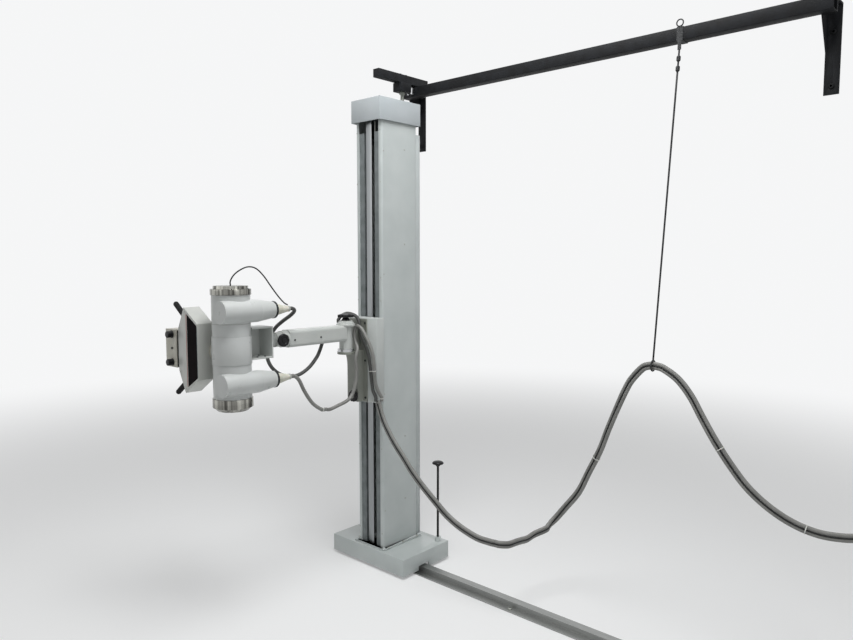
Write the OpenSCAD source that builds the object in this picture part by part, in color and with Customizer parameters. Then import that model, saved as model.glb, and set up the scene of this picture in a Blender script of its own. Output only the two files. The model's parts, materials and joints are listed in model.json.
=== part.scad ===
// X-ray tube stand that rolls on a floor rail and is steadied by a rail on the wall.
// A counterbalanced carriage climbs the column and carries a swivel arm with the tube head.
// Origin: on the floor, under the column's own centre line, with the column at its home end.
// +X runs along the rails, +Y points at the wall, +Z is up. Millimetres.

/* [Rails] */
// Length of the black rail on the wall
wall_rail_len = 2030; // [1700:10:2600]
// Side of the square tube that the wall rail is made of
wall_rail_size = 50; // [40:2:60]
// Wall of that tube
wall_rail_wall = 3; // [2:0.5:5]
// Height of the wall rail's underside above the floor
wall_rail_z = 2420; // [2400:5:2440]
// Distance from the column's centre to the wall
wall_y = 330; // [310:5:360]
// Height of a wall bracket
wall_bracket_h = 313; // [240:5:400]
// Width of a wall bracket
wall_bracket_w = 50; // [40:2:60]
// Length of the floor rail
floor_rail_len = 2240; // [2000:10:2600]
// Width of the floor rail's foot
floor_rail_w = 120; // [100:5:160]
// Height of the floor rail's running head
floor_rail_h = 30; // [24:1:40]

/* [Base] */
// Length of the base trolley along the rail
base_len = 520; // [480:10:560]
// Depth of the base trolley
base_depth = 340; // [320:10:380]
// Height of the base trolley's top
base_top = 100; // [96:2:120]
// Radius of a base wheel
base_wheel_r = 30; // [26:1:32]
// Height of the mushroom knob on the brake rod
brake_knob_z = 528; // [400:5:600]

/* [Column] */
// Width of the column
mast_w = 184; // [176:2:200]
// Depth of the column
mast_d = 250; // [244:2:270]
// Thickness of the column's walls
mast_wall = 5; // [4:0.5:7]
// Height of the column's open top
mast_top = 2346; // [2300:2:2350]
// Width of the front opening between the two lips
front_gap = 140; // [130:2:146]
// Width of the bright strip down the middle of the opening
strip_w = 38; // [30:1:40]
// Width of the top cap
cap_w = 206; // [200:2:220]
// Depth of the top cap
cap_d = 286; // [276:2:300]
// Height of the top cap
cap_h = 110; // [90:2:130]
// Radius at which the ropes run on the sheaves
sheave_r = 80; // [74:1:82]
// Diameter of the wire ropes
rope_d = 6; // [4:0.5:7]
// Length of the counterweight
weight_h = 450; // [350:10:520]

/* [Carriage] */
// Width of the carriage box
carriage_w = 210; // [196:2:230]
// Depth of the carriage box
carriage_d = 72; // [60:2:84]
// Height of the carriage box
carriage_h = 418; // [400:2:450]
// Height of the carriage box's underside
carriage_z = 867; // [840:1:890]
// Width of the cast bracket that carries the arm
bracket_w = 76; // [64:2:90]

/* [Arm] */
// Distance from the column's centre to the arm's pivot
pivot_y = 280; // [274:1:290]
// Height of the arm's centre line
arm_z = 1217; // [1212:1:1222]
// Width of the arm's tube
arm_w = 66; // [60:1:72]
// Height of the arm's tube
arm_h = 78; // [72:1:80]
// Distance from the column's centre to the front of the arm's clamp
arm_front_y = 702; // [680:1:710]
// Diameter of the shaft that the tube head turns on
shaft_d = 56; // [48:1:58]

/* [Tube head] */
// Distance from the column's centre to the tube's own axis
tube_y = 915; // [905:1:930]
// Diameter of the tube housing
tube_d = 160; // [150:1:166]
// Height of the housing's painted lower edge
tube_z0 = 990; // [984:1:996]
// Height of the housing's painted upper edge
tube_z1 = 1425; // [1418:1:1430]
// Diameter of the two steel end rings
ring_d = 168; // [166:1:176]
// Diameter of a cable receptacle where it joins the housing
horn_d = 96; // [84:1:98]
// Height of the lower receptacle's axis
horn_z0 = 1054; // [1050:1:1060]
// Height of the upper receptacle's axis
horn_z1 = 1356; // [1350:1:1360]

/* [Collimator] */
// Height of the beam's axis
beam_z = 1180; // [1176:1:1184]
// Width of the collimator's body
coll_w = 180; // [168:2:186]
// Height of the collimator's body
coll_h = 168; // [156:2:172]
// Distance from the tube's axis to the collimator's end
coll_reach = 390; // [376:2:410]
// Thickness of the six-sided front housing
hex_t = 75; // [60:1:76]
// Diameter of a collimator knob
coll_knob_d = 30; // [24:1:34]

/* [Hidden] */
$fn = 64;

// Clearance between pieces that move past each other
run_gap = 0.3;
// Radial clearance of a shaft in its bore
fit_gap = 0.06;

// Rails
rail_x0 = -75;
rail_y0 = 200;
rail_head_w = 40;
rail_foot_t = 6;
floor_rail_x0 = -300;
rail_top_z = wall_rail_z + wall_rail_size;
bracket_t = 6;
bracket_right_x = rail_x0 + wall_rail_len - wall_bracket_w;
anchor_r = 5;
anchor_inset = 30;

// Base
base_y0 = -base_depth / 2 + 20;
base_wall = 6;
base_skirt_z = 14;
wheel_w = 30;
wheel_x = base_len / 2 - 60;
wheel_z = floor_rail_h + base_wheel_r + run_gap;
wheel_axle_r = 8;
foot_t = 8;
rail_clear = 18;
brake_x = base_len / 2 - 38;
brake_y = 150;
brake_rod_r = 6;

// Column
mast_x = mast_w / 2;
mast_front = -120;
mast_back = mast_front + mast_d;
mast_z0 = base_top + foot_t;
mast_inner_x = mast_x - mast_wall;
lip_x = front_gap / 2;
bar_x0 = 37;
bar_t = 12;
bar_front = mast_front + mast_wall;
bar_back = bar_front + bar_t;
strip_t = 4;
strip_y = mast_front + 2;
cover_t = 30;
cap_wall = 3;
cap_pad = 8;
cap_z1 = mast_top + 11;
cap_z0 = cap_z1 - cap_h;
cap_y0 = mast_front - 20;
sheave_y = -22;
sheave_z = 2250;
sheave_w = 12;
sheave_x = 28;
sheave_rim = 4;
sheave_axle_r = 10;
rope_r = rope_d / 2;

// Top guide
bar_top_w = 40;
bar_top_z = rail_top_z + 4;
bar_top_y0 = -66;
roller_r = 18;
roller_h = 30;
roller_pin_r = 4;
roller_front_y = rail_y0 - roller_r - run_gap;
roller_rear_y = rail_y0 + wall_rail_size + roller_r + run_gap;
roller_z0 = wall_rail_z + 8;
bar_top_y1 = roller_rear_y + 26;
block_y0 = 84;
block_y1 = 156;
block_h = 44;
plate_t = 6;
post_r = 9;

// Carriage
carriage_x = carriage_w / 2;
carriage_back = mast_front - 2;
carriage_front = carriage_back - carriage_d;
carriage_top = carriage_z + carriage_h;
web_x0 = 23;
web_x1 = 33;
web_y1 = -62;
inner_z0 = carriage_z + 13;
inner_z1 = carriage_top - 15;
roller_axle_r = 6;
inner_roller_y = bar_back + roller_r + run_gap;
roller_z_low = inner_z0 + 25;
roller_z_high = inner_z1 - 25;
flange_t = 6;
flange_front = carriage_front - flange_t;
pin_r = 15;
pin_top_r = 8;
bearing_drop = 53;
bearing_z = arm_z - arm_h / 2 - bearing_drop;
bearing_t = 13;
bearing_r = 42;
barrel_r = 32;
barrel_z0 = bearing_z + bearing_t + run_gap;
barrel_z1 = arm_z + arm_h / 2 - 6;
disc_r = 46;
disc_t = 26;
disc_top = barrel_z1 + disc_t;
knob_z0 = disc_top + run_gap;
star_stem = 15;
lock_knob_z = 904;
lock_knob_x = 25;
bracket_face = 238;
bracket_curve = 80;
plate_w = 124;
rib_d = 12;

// Arm
arm_r = 15;
arm_wall = 4;
clamp_back_y = arm_front_y - 68;
clamp_plate_t = 4;
collar_r = 37;
collar_y = arm_front_y - 34;
boss_r = 33;
shaft_end_y = clamp_back_y + 14;
tube_lock_y = arm_front_y - 16;
tube_lock_x = collar_r + run_gap;
yoke_web_y = 741;

// Tube head
tube_r = tube_d / 2;
band_t = 3;
band_z0 = 1135;
band_z1 = 1250;
yoke_x = 50;
yoke_wall = 6;
yoke_z0 = 1146;
yoke_z1 = 1283;
top_ring_z1 = tube_z1 + 25;
top_cap_z1 = top_ring_z1 + 13;
low_ring_z0 = tube_z0 - 39;
low_cap_z0 = low_ring_z0 - 15;
bulb_r = 52;
bulb_h = 100;
bulb_neck_r = 34;
horn_x = 58;
horn_front_y = 1005;
horn_cone_y = 830;
horn_end_y = 750;
horn_end_r = 36;
plug_ring_t = 10;
boot_len = 80;
boot_y = horn_end_y - plug_ring_t;
boot_r0 = 26;
boot_r1 = 13;

// Collimator
port_x0 = -74;
port_x1 = -98;
port_r = 42;
hub_r = 30;
beam_r = 24;
coll_x0 = -112;
hex_y0 = tube_y + 95;
hex_y1 = hex_y0 - hex_t;
hex_edge = [[-112, 120], [-219, 187], [-270, 93]];
coll_neck_x = -297;
coll_front_y = tube_y + coll_w / 2;
coll_back_y = tube_y - coll_w / 2;
coll_knob_x = -335;
coll_knob_z = 62;
coll_knob_len = 26;
coll_wall = 4;
button_r = 5;
gasket_z = coll_h / 2 - coll_wall;
grip_len = 104;
grip_r = 12;
grip_tilt = 35;
grip_base = [232, 136];

// Cables and the cord that hangs from the rail, as points along each route
head_cable_d = 17;
bundle_d = 34;
wire_d = 6;
hanger_d = 7;
hook = [1352, 200, 1158];
hook_ring_r = bundle_d / 2 + hanger_d / 2 + run_gap + 0.2;
strap_x = 1424;
lower_cable = [[58, -659.7, 1054], [58, -640, 1054], [58, -612, 1032], [59, -582, 976], [68, -545, 918],
  [80, -503, 884], [68.5, -467.7, 877]];
riser_cable = [[68.4, -467.4, 876.9], [56.9, -432.1, 869.9], [57, -378, 881], [58, -329, 894], [56, -296, 914],
  [54, -274, 949], [53, -262, 996], [54, -260, 1046], [53, -265, 1088], [52, -258, 1116], [46, -246, 1138],
  [28, -238, 1160], [14, -236, 1184], [9, -235, 1210], [12, -231, 1232], [26, -228, 1247], [54, -228, 1238],
  [86, -228, 1202], [121, -226, 1146], [134, -222, 1089], [132, -216, 1034], [130, -206, 974],
  [133, -190, 930], [136, -172, 900], [136, -172, 880.3]];
upper_cable = [[58, -659.7, 1356], [58, -642, 1356], [46, -622, 1344], [10, -616, 1322], [-34, -630, 1292],
  [-72, -642, 1260], [-118, -646, 1205], [-134, -648, 1144], [-114, -646, 1090], [-64, -638, 1054],
  [-18, -612, 1040], [0, -568, 1044], [0, -510, 1070], [-2, -462, 1112], [-16, -430, 1142], [-34, -404, 1164],
  [-44, -382, 1190], [-46, -350, 1212], [-50, -318, 1226], [-54, -296, 1236], [-58, -276, 1247], [-58, -276, 1262]];
rear_cable = [[-58, -276, 1262.3], [-58, -276, 1277], [-56, -258, 1295], [-44, -236, 1306], [-22, -224, 1304],
  [0, -214, 1294], [14, -210, 1278], [22, -210, 1256], [25, -210, 1228], [32, -210, 1204], [48, -210, 1180],
  [68, -210, 1148], [86, -210, 1108], [96, -209, 1056], [102, -207, 1000], [108, -204, 940], [118, -194, 900],
  [118, -194, 880.3]];
wire_route = [[0, -915, 1463.2], [0, -915, 1482], [8, -903, 1507], [20, -880, 1528], [30, -848, 1541],
  [38, -814, 1534], [44, -780, 1502], [50, -744, 1452], [55, -710, 1408], [58, -684, 1382], [58, -668, 1374]];
bundle_route = [[127, -183, 880], [127, -183, 862], [158, -181, 788], [221, -181, 703], [294, -180, 628],
  [343, -176, 572], [408, -169, 510], [474, -160, 453], [528, -150, 405], [583, -140, 369],
  [641, -129, 342], [700, -119, 324], [761, -110, 320], [783, -106, 320]];
crossing_route = [[783.3, -105.9, 320], [805.3, -101.9, 320], [831, -72, 317], [838, -28, 316], [833, 24, 307],
  [829, 78, 298], [833, 132, 305], [866, 176, 325], [869, 190, 335], [869, 200, 339]];
wall_route = [[869, 200.3, 339.1], [869, 215.3, 345.1], [883, 234, 366], [920, 252, 420], [985, 260, 509],
  [1041, 252, 618], [1100, 238, 728], [1150, 222, 844], [1204, 206, 960], [1236, 202, 1028],
  [1262, 200, 1072], [1306, 200, 1122], [1334, 200, 1135], [1352, 200, 1137], [1370, 200, 1136],
  [1400, 200, 1128], [1458, 200, 1092], [1512, 200, 1030], [1560, 200, 950], [1612, 202, 866],
  [1670, 206, 784], [1734, 210, 708], [1812, 216, 646], [1896, 222, 604], [1980, 232, 584],
  [2060, 246, 586], [2120, 260, 598], [2160, 262, 600], [2190, 262, 600]];

// A rectangle with round corners, centred
module round_rect(w, h, r) {
  square([w - 2 * r, h], center = true);
  square([w, h - 2 * r], center = true);
  for (x = [-1, 1], y = [-1, 1]) translate([x * (w / 2 - r), y * (h / 2 - r)]) circle(r);
}

// Cylinders that lie along X or Y, from their low end
module along_x(r, x0, x1) { translate([x0, 0, 0]) rotate([0, 90, 0]) cylinder(r = r, h = x1 - x0); }
module along_y(r, y0, y1) { translate([0, y0, 0]) rotate([-90, 0, 0]) cylinder(r = r, h = y1 - y0); }
// A box from its two corners
module box(a, b) { translate(a) cube(b - a); }

// A plain tube with one ring at each point of a route
function unit(v) = v / norm(v);
function heading(p, i) = unit(p[min(i + 1, len(p) - 1)] - p[max(i - 1, 0)]);
module cord_tube(route, d, side = [0.3, 1, 0.15], sides = 8) {
  n = len(route);
  points = [for (i = [0:n - 1])
    let (t = heading(route, i), u = unit(cross(t, side)), v = cross(t, u))
    for (k = [0:sides - 1])
      route[i] + d / 2 * (cos(360 * k / sides) * u + sin(360 * k / sides) * v)];
  walls = [for (i = [0:n - 2], k = [0:sides - 1])
    let (a = i * sides + k, b = i * sides + (k + 1) % sides, c = b + sides, e = a + sides)
    each [[a, e, c], [a, c, b]]];
  polyhedron(points, concat([[for (k = [0:sides - 1]) k]], walls,
    [[for (k = [sides - 1:-1:0]) (n - 1) * sides + k]]));
}

// Round hand knob with a recessed face, axis along Z, its stud pointing down
module hand_knob(r, h, stud_r, stud_len) {
  rotate_extrude() polygon([[0, -stud_len], [stud_r, -stud_len], [stud_r, 0], [r * 0.55, 0],
    [r * 0.8, h * 0.2], [r, h * 0.35], [r, h * 0.85], [r - 3, h], [r * 0.5, h], [r * 0.5, h - 3],
    [0, h - 3]]);
}

// Rails and their fastenings
module floor_rail() {
  color("silver") difference() {
    union() {
      for (x = [floor_rail_x0, floor_rail_x0 + floor_rail_len - stop_len])
        box([x, -rail_head_w / 2, floor_rail_h - 1], [x + stop_len, rail_head_w / 2, floor_rail_h + 28]);
      box([floor_rail_x0, -floor_rail_w / 2, 0],
        [floor_rail_x0 + floor_rail_len, floor_rail_w / 2, rail_foot_t]);
      box([floor_rail_x0, -rail_head_w / 2, rail_foot_t - 1],
        [floor_rail_x0 + floor_rail_len, rail_head_w / 2, floor_rail_h]);
    }
    for (x = rail_bolt_xs, y = [-1, 1])
      translate([x, y * rail_bolt_y, -1]) cylinder(r = anchor_r + fit_gap, h = rail_foot_t + 2);
  }
}
rail_bolt_y = (floor_rail_w + rail_head_w) / 4;
rail_bolt_xs = [for (i = [0:2]) floor_rail_x0 + 60 + i * (floor_rail_len - 120) / 2];
stop_len = 16;
module wall_rail() {
  color([0.08, 0.08, 0.09]) difference() {
    box([rail_x0, rail_y0, wall_rail_z],
      [rail_x0 + wall_rail_len, rail_y0 + wall_rail_size, rail_top_z]);
    box([rail_x0 - 1, rail_y0 + wall_rail_wall, wall_rail_z + wall_rail_wall],
      [rail_x0 + wall_rail_len + 1, rail_y0 + wall_rail_size - wall_rail_wall,
        rail_top_z - wall_rail_wall]);
  }
}
// An angle bracket: a plate on the wall, an arm to the back of the rail and a web between them
bracket_zs = [rail_top_z - wall_bracket_h + anchor_inset, rail_top_z - 95];
module wall_bracket(x0) {
  y0 = rail_y0 + wall_rail_size;
  color([0.08, 0.08, 0.09]) difference() {
    union() {
      box([x0, wall_y - bracket_t, rail_top_z - wall_bracket_h], [x0 + wall_bracket_w, wall_y, rail_top_z]);
      box([x0, y0, rail_top_z - bracket_t], [x0 + wall_bracket_w, wall_y, rail_top_z]);
      box([x0, y0, wall_rail_z], [x0 + wall_bracket_w, y0 + bracket_t, rail_top_z]);
      translate([x0 + bracket_t, 0, 0]) rotate([0, -90, 0]) linear_extrude(bracket_t)
        polygon([[rail_top_z - 1, y0 + 1], [rail_top_z - 1, wall_y - 1],
          [rail_top_z - wall_bracket_h * 0.55, wall_y - 1], [wall_rail_z, y0 + 1]]);
    }
    for (z = bracket_zs) translate([x0 + wall_bracket_w / 2, 0, z])
      along_y(anchor_r + fit_gap, wall_y - bracket_t - 1, wall_y + 1);
  }
}
module wall_brackets() { for (x0 = [rail_x0, bracket_right_x]) wall_bracket(x0); }

// The strap round the wall rail, its ring and the elastic cord that lifts the cables
strap_w = 24;
strap_t = 2;
strap_gap = 0.2;
strap_drop = 36;
module rail_strap() {
  o = strap_t + strap_gap;
  color([0.12, 0.12, 0.13]) {
    difference() {
      box([strap_x - strap_w / 2, rail_y0 - o, wall_rail_z - o],
        [strap_x + strap_w / 2, rail_y0 + wall_rail_size + o, rail_top_z + o]);
      box([strap_x - strap_w, rail_y0 - strap_gap, wall_rail_z - strap_gap],
        [strap_x + strap_w, rail_y0 + wall_rail_size + strap_gap, rail_top_z + strap_gap]);
    }
    box([strap_x - 7, rail_y0 - o, wall_rail_z - strap_drop],
      [strap_x + 7, rail_y0 - strap_gap, wall_rail_z - o + 1]);
    translate([strap_x, rail_y0 - 1 - strap_gap, rail_top_z + 16]) rotate([90, 0, 0])
      rotate_extrude() translate([13, 0]) circle(2.5);
    translate(bead_top) turned_to(bead_dir) rotate_extrude()
      polygon([[0, -2], [3, -2], [3, 20], [bead_r, 26], [bead_r, 40], [3, 46], [3, 58], [bead_r, 64],
        [bead_r, 78], [hanger_d / 2, beads_len], [0, beads_len]]);
    hanger_cord();
  }
}
bead_dir = unit(hook - [strap_x, 199, wall_rail_z - strap_drop]);
bead_top = [strap_x, 199, wall_rail_z - strap_drop];
bead_r = 8;
beads_len = 84;
module turned_to(d) { rotate([0, acos(d[2]), atan2(d[1], d[0])]) children(); }
module hanger_cord() {
  translate(bead_top) turned_to(bead_dir) cylinder(d = hanger_d, h = norm(hook - bead_top));
  translate([hook[0], hook[1], hook[2] - hook_ring_r]) rotate([0, 90, 0]) rotate_extrude()
    translate([hook_ring_r, 0]) circle(d = hanger_d);
}
// A clamp on the wall where the cables leave towards the generator, past the end of the rail
saddle = wall_route[len(wall_route) - 1];
module cable_saddle() {
  color("gray") {
    box([saddle[0] + run_gap, saddle[1] - 30, saddle[2] - 30], [saddle[0] + 26, saddle[1] + 30, saddle[2] + 30]);
    box([saddle[0] + 4, saddle[1] + 29, saddle[2] - 14], [saddle[0] + 22, wall_y - 4, saddle[2] + 14]);
    box([saddle[0] - 17, wall_y - 5, saddle[2] - 30], [saddle[0] + 43, wall_y, saddle[2] + 30]);
  }
}

// Base
module base_trolley() {
  y1 = base_y0 + base_depth;
  x = base_len / 2;
  color([0.82, 0.86, 0.88]) difference() {
    union() {
      difference() {
        box([-x, base_y0, base_skirt_z], [x, y1, base_top]);
        box([-x + base_wall, base_y0 + base_wall, base_skirt_z - 1],
          [x - base_wall, y1 - base_wall, base_top - base_wall]);
      }
      for (s = [-1, 1], t = [-1, 1]) translate([s * wheel_x, t * (wheel_w / 2 + 8), 0])
        box([-16, -5, wheel_z - 16], [16, 5, base_top - 1]);
      translate([brake_x, brake_y, base_top - 1]) cylinder(r = 16, h = 25);
    }
    for (s = [-1, 1]) translate([s * wheel_x, 0, wheel_z])
      along_y(wheel_axle_r + fit_gap, -wheel_w, wheel_w);
    box([-x - 1, -rail_head_w / 2 - rail_clear, 0], [x + 1, rail_head_w / 2 + rail_clear, floor_rail_h + 6]);
    translate([brake_x, brake_y, base_top + 4]) cylinder(r = brake_rod_r + fit_gap, h = 30);
  }
}
module base_wheel(x) {
  color("dimgray") translate([x, 0, wheel_z]) rotate([-90, 0, 0]) {
    rotate_extrude() polygon([[0, -26], [wheel_axle_r, -26], [wheel_axle_r, -wheel_w / 2],
      [base_wheel_r - 2, -wheel_w / 2], [base_wheel_r, -wheel_w / 2 + 2],
      [base_wheel_r, wheel_w / 2 - 2], [base_wheel_r - 2, wheel_w / 2],
      [wheel_axle_r, wheel_w / 2], [wheel_axle_r, 26], [0, 26]]);
  }
}
module base_wheel_left() { base_wheel(-wheel_x); }
module base_wheel_right() { base_wheel(wheel_x); }
module mast_foot() {
  color("dimgray") {
    box([-mast_x - 18, mast_front - 14, base_top], [mast_x + 18, mast_back + 14, mast_z0]);
    for (x = [-1, 1], y = [mast_front - 5, mast_back + 5])
      translate([x * (mast_x + 8), y, mast_z0]) cylinder(r = 8, h = 6, $fn = 6);
  }
}
module brake_rod() {
  color([0.1, 0.1, 0.1]) translate([brake_x, brake_y, base_top + 4 + run_gap]) rotate_extrude()
    polygon(concat([[0, 0], [brake_rod_r, 0], [brake_rod_r, brake_h - 30], [12, brake_h - 24],
      [14, brake_h - 14]], [for (a = [-20:10:90]) [30 * cos(a), brake_h - 14 + 3 + 12 * sin(a)]]));
}
brake_h = brake_knob_z - base_top - 4;

// Column
module mast() {
  color([0.80, 0.85, 0.88]) difference() {
    translate([0, mast_front + mast_d / 2, mast_z0]) linear_extrude(mast_top - mast_z0)
      round_rect(mast_w, mast_d, 12);
    box([-mast_inner_x, mast_front + mast_wall, mast_z0 - 1], [mast_inner_x, mast_back - mast_wall, mast_top + 1]);
    box([-lip_x, mast_front - 1, mast_z0 - 1], [lip_x, mast_front + mast_wall + 1, mast_top + 1]);
  }
}
module guide_bars() {
  color([0.35, 0.37, 0.37]) for (s = [-1, 1]) {
    x0 = s > 0 ? bar_x0 : -mast_inner_x;
    box([x0, bar_front, mast_z0], [x0 + mast_inner_x - bar_x0, bar_back, mast_top - 150]);
  }
}
module front_strip() {
  color("silver") box([-strip_w / 2, strip_y, mast_z0], [strip_w / 2, strip_y + strip_t, mast_top]);
}
module rear_cover() {
  color([0.78, 0.82, 0.84]) difference() {
    box([-mast_x + 6, mast_back, mast_z0], [mast_x - 6, mast_back + cover_t, mast_top - 140]);
    box([-mast_x + 8, mast_back - 1, mast_z0 - 1], [mast_x - 8, mast_back + cover_t - 2, mast_top - 142]);
  }
}
module mast_cap() {
  y1 = cap_y0 + cap_d;
  x = cap_w / 2;
  color([0.86, 0.90, 0.92]) {
    difference() {
      box([-x, cap_y0, cap_z0], [x, y1, cap_z1]);
      box([-x + cap_wall, cap_y0 + cap_wall, cap_z0 - 1], [x - cap_wall, y1 - cap_wall, cap_z1 - cap_wall]);
    }
    for (s = [-1, 1], y = [mast_front + 50, mast_back - 60]) translate([s * (mast_x - cap_pad / 2), y, mast_top])
      translate([-cap_pad / 2, 0, 0]) cube([cap_pad, 24, cap_z1 - mast_top - 1]);
    for (s = [-1, 1], y = [mast_front + 14, mast_back - 60]) translate([s * 64, y, cap_z1])
      cylinder(r = 8, h = 6, $fn = 6);
  }
}
module sheave_axle() {
  color("silver") translate([0, sheave_y, sheave_z]) {
    along_x(sheave_axle_r, -mast_inner_x, mast_inner_x);
    for (s = [-1, 1]) translate([s * sheave_x, 0, 0]) rotate([90, 0, 90])
      rotate_extrude(angle = 180) translate([sheave_r, 0]) circle(rope_r);
  }
}
module sheaves() {
  r = sheave_r - rope_r - run_gap;
  w = sheave_w / 2;
  color("gray") translate([0, sheave_y, sheave_z]) rotate([0, 90, 0]) difference() {
    rotate_extrude() polygon([[0, -sheave_x - w], [sheave_r + sheave_rim, -sheave_x - w],
      [r, -sheave_x - rope_r - 0.5], [r, -sheave_x + rope_r + 0.5], [sheave_r + sheave_rim, -sheave_x + w],
      [18, -sheave_x + w], [18, sheave_x - w], [sheave_r + sheave_rim, sheave_x - w],
      [r, sheave_x - rope_r - 0.5], [r, sheave_x + rope_r + 0.5], [sheave_r + sheave_rim, sheave_x + w],
      [0, sheave_x + w]]);
    translate([0, 0, -60]) cylinder(r = sheave_axle_r + fit_gap, h = 120);
  }
}
module rope_runs(y, z0) {
  color("gray") for (s = [-1, 1]) translate([s * sheave_x, y, z0]) cylinder(r = rope_r, h = sheave_z - z0);
}
module rope_front() { rope_runs(sheave_y - sheave_r, inner_z1); }
module rope_rear() { rope_runs(sheave_y + sheave_r, weight_z0 + weight_h); }
weight_z0 = 1050;
weight_y = sheave_y + sheave_r;
weight_x = 70;
weight_y1 = 48;
shoe_h = 30;
module counterweight() {
  color([0.25, 0.26, 0.27]) {
    box([-weight_x, weight_y - weight_y1, weight_z0], [weight_x, weight_y + weight_y1, weight_z0 + weight_h]);
    for (s = [-1, 1], z = [weight_z0 + shoe_h, weight_z0 + weight_h - 2 * shoe_h])
      box([s > 0 ? weight_x : -mast_inner_x + run_gap, weight_y - 20, z],
        [s > 0 ? mast_inner_x - run_gap : -weight_x, weight_y + 20, z + shoe_h]);
  }
}

// The guide on top of the column that holds it to the wall rail
module guide_bar_top() {
  guide_block();
  color([0.08, 0.08, 0.09]) {
    difference() {
      box([-bar_top_w / 2, bar_top_y0, bar_top_z], [bar_top_w / 2, bar_top_y1, bar_top_z + bar_top_w]);
      box([-bar_top_w / 2 + 3, bar_top_y0 + 3, bar_top_z + 3],
        [bar_top_w / 2 - 3, bar_top_y1 - 3, bar_top_z + bar_top_w - 3]);
    }
    for (y = [roller_front_y, roller_rear_y]) translate([0, y, roller_z0 - 5])
      cylinder(r = roller_pin_r, h = bar_top_z - roller_z0 + 6);
    for (y = [roller_front_y, roller_rear_y]) translate([0, y, roller_z0 - 5])
      cylinder(r = roller_pin_r + 4, h = 5 - run_gap);
    for (y = [block_y0 + 20, block_y1 - 12]) translate([0, y, bar_top_z + bar_top_w])
      cylinder(r = 9, h = 6, $fn = 6);
  }
}
module guide_block() {
  color([0.1, 0.1, 0.11]) difference() {
    box([-30, block_y0, bar_top_z - block_h], [30, block_y1, bar_top_z]);
    translate([0, (block_y0 + block_y1) / 2, bar_top_z - block_h - 1])
      cylinder(r = post_r + fit_gap, h = block_h - 10);
  }
}
module guide_plate() {
  y = (block_y0 + block_y1) / 2;
  color([0.62, 0.64, 0.65]) {
    box([-45, 40, cap_z1], [45, 192, cap_z1 + plate_t]);
    translate([0, y, cap_z1 + plate_t]) cylinder(r = post_r, h = bar_top_z - 14 - cap_z1 - plate_t);
    translate([0, y, cap_z1 + plate_t]) cylinder(r = 16, h = 12, $fn = 6);
    translate([0, y, bar_top_z - block_h - 12]) cylinder(r = 16, h = 12, $fn = 6);
    box([-45, 186, cap_z1 - 34], [45, 192, cap_z1 + 1]);
  }
}
module guide_roller(y) {
  color([0.85, 0.85, 0.82]) translate([0, y, roller_z0]) difference() {
    cylinder(r = roller_r, h = roller_h);
    translate([0, 0, -1]) cylinder(r = roller_pin_r + fit_gap, h = roller_h + 2);
  }
}
module guide_roller_front() { guide_roller(roller_front_y); }
module guide_roller_rear() { guide_roller(roller_rear_y); }

// Carriage
module carriage_box() {
  w = carriage_x;
  outline = [[-w, carriage_back], [-w, carriage_front + 22], [-w + 40, carriage_front],
    [w - 40, carriage_front], [w, carriage_front + 22], [w, carriage_back]];
  inner = [[-w + 3, carriage_back + 1], [-w + 3, carriage_front + 24], [-w + 42, carriage_front + 3],
    [w - 42, carriage_front + 3], [w - 3, carriage_front + 24], [w - 3, carriage_back + 1]];
  color([0.84, 0.87, 0.88]) difference() {
    translate([0, 0, carriage_z]) linear_extrude(carriage_h) polygon(outline);
    translate([0, 0, carriage_z + 3]) linear_extrude(carriage_h - 6) polygon(inner);
  }
}
module carriage_inner() {
  color("gray") difference() {
    union() {
      for (s = [-1, 1]) {
        x0 = s > 0 ? web_x0 : -web_x1;
        box([x0, carriage_front + 3, inner_z0], [x0 + web_x1 - web_x0, web_y1, inner_z1]);
      }
      box([-web_x1, web_y1 - 8, inner_z0], [web_x1, web_y1, inner_z1]);
    }
    translate([0, 0, (inner_z0 + inner_z1) / 2]) for (dz = [-90, 0, 90]) translate([0, -90, dz])
      along_x(22, -90, 90);
  }
  color("silver") for (z = [roller_z_low, roller_z_high]) translate([0, inner_roller_y, z])
    along_x(roller_axle_r, -66, 66);
}
module roller_pair(z) {
  color([0.2, 0.2, 0.21]) for (x = [42, -62]) translate([0, inner_roller_y, z]) difference() {
    along_x(roller_r, x, x + 20);
    along_x(roller_axle_r + fit_gap, x - 1, x + 21);
  }
}
module carriage_rollers_upper() { roller_pair(roller_z_high); }
module carriage_rollers_lower() { roller_pair(roller_z_low); }

// The cast bracket: a curved front flange and a web, on a plate screwed to the carriage
module bracket_side() {
  curve = [for (a = [0:15:90]) [-pivot_y + 12 + 30 * sin(a), bearing_z - bracket_curve * (1 - cos(a))]];
  polygon(concat([[flange_front, bearing_z]], [[-pivot_y - 8, bearing_z], [-pivot_y - 8, bearing_z - 10]],
    [for (p = curve) if (p[1] < bearing_z - 10) p], [[-bracket_face, carriage_z + 6], [flange_front, carriage_z + 6]]));
}
module pivot_bracket() {
  color([0.62, 0.64, 0.64]) difference() {
    union() {
      box([-plate_w / 2, flange_front, carriage_z + 4], [plate_w / 2, carriage_front, carriage_top - 4]);
      translate([bracket_w / 2, 0, 0]) rotate([90, 0, -90]) mirror([1, 0, 0])
        linear_extrude(bracket_w) bracket_side();
      translate([0, -pivot_y, bearing_z - 12]) cylinder(r = bearing_r, h = 12);
      box([-12, flange_front - rib_d, bearing_z - 1], [12, flange_front + 1, carriage_top - 30]);
    }
    translate([0, -pivot_y, bearing_z - 60]) cylinder(r = pin_r - 3, h = 70);
    translate([lock_knob_x, 0, lock_knob_z]) along_y(5 + fit_gap, -bracket_face - 20, -bracket_face + 9);
    for (x = [-1, 1] * (plate_w / 2 - 10), z = [carriage_z + 24, carriage_z + carriage_h / 2, carriage_top - 24])
      translate([x, 0, z]) along_y(3, flange_front - 1, carriage_front + 1);
  }
}
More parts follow.
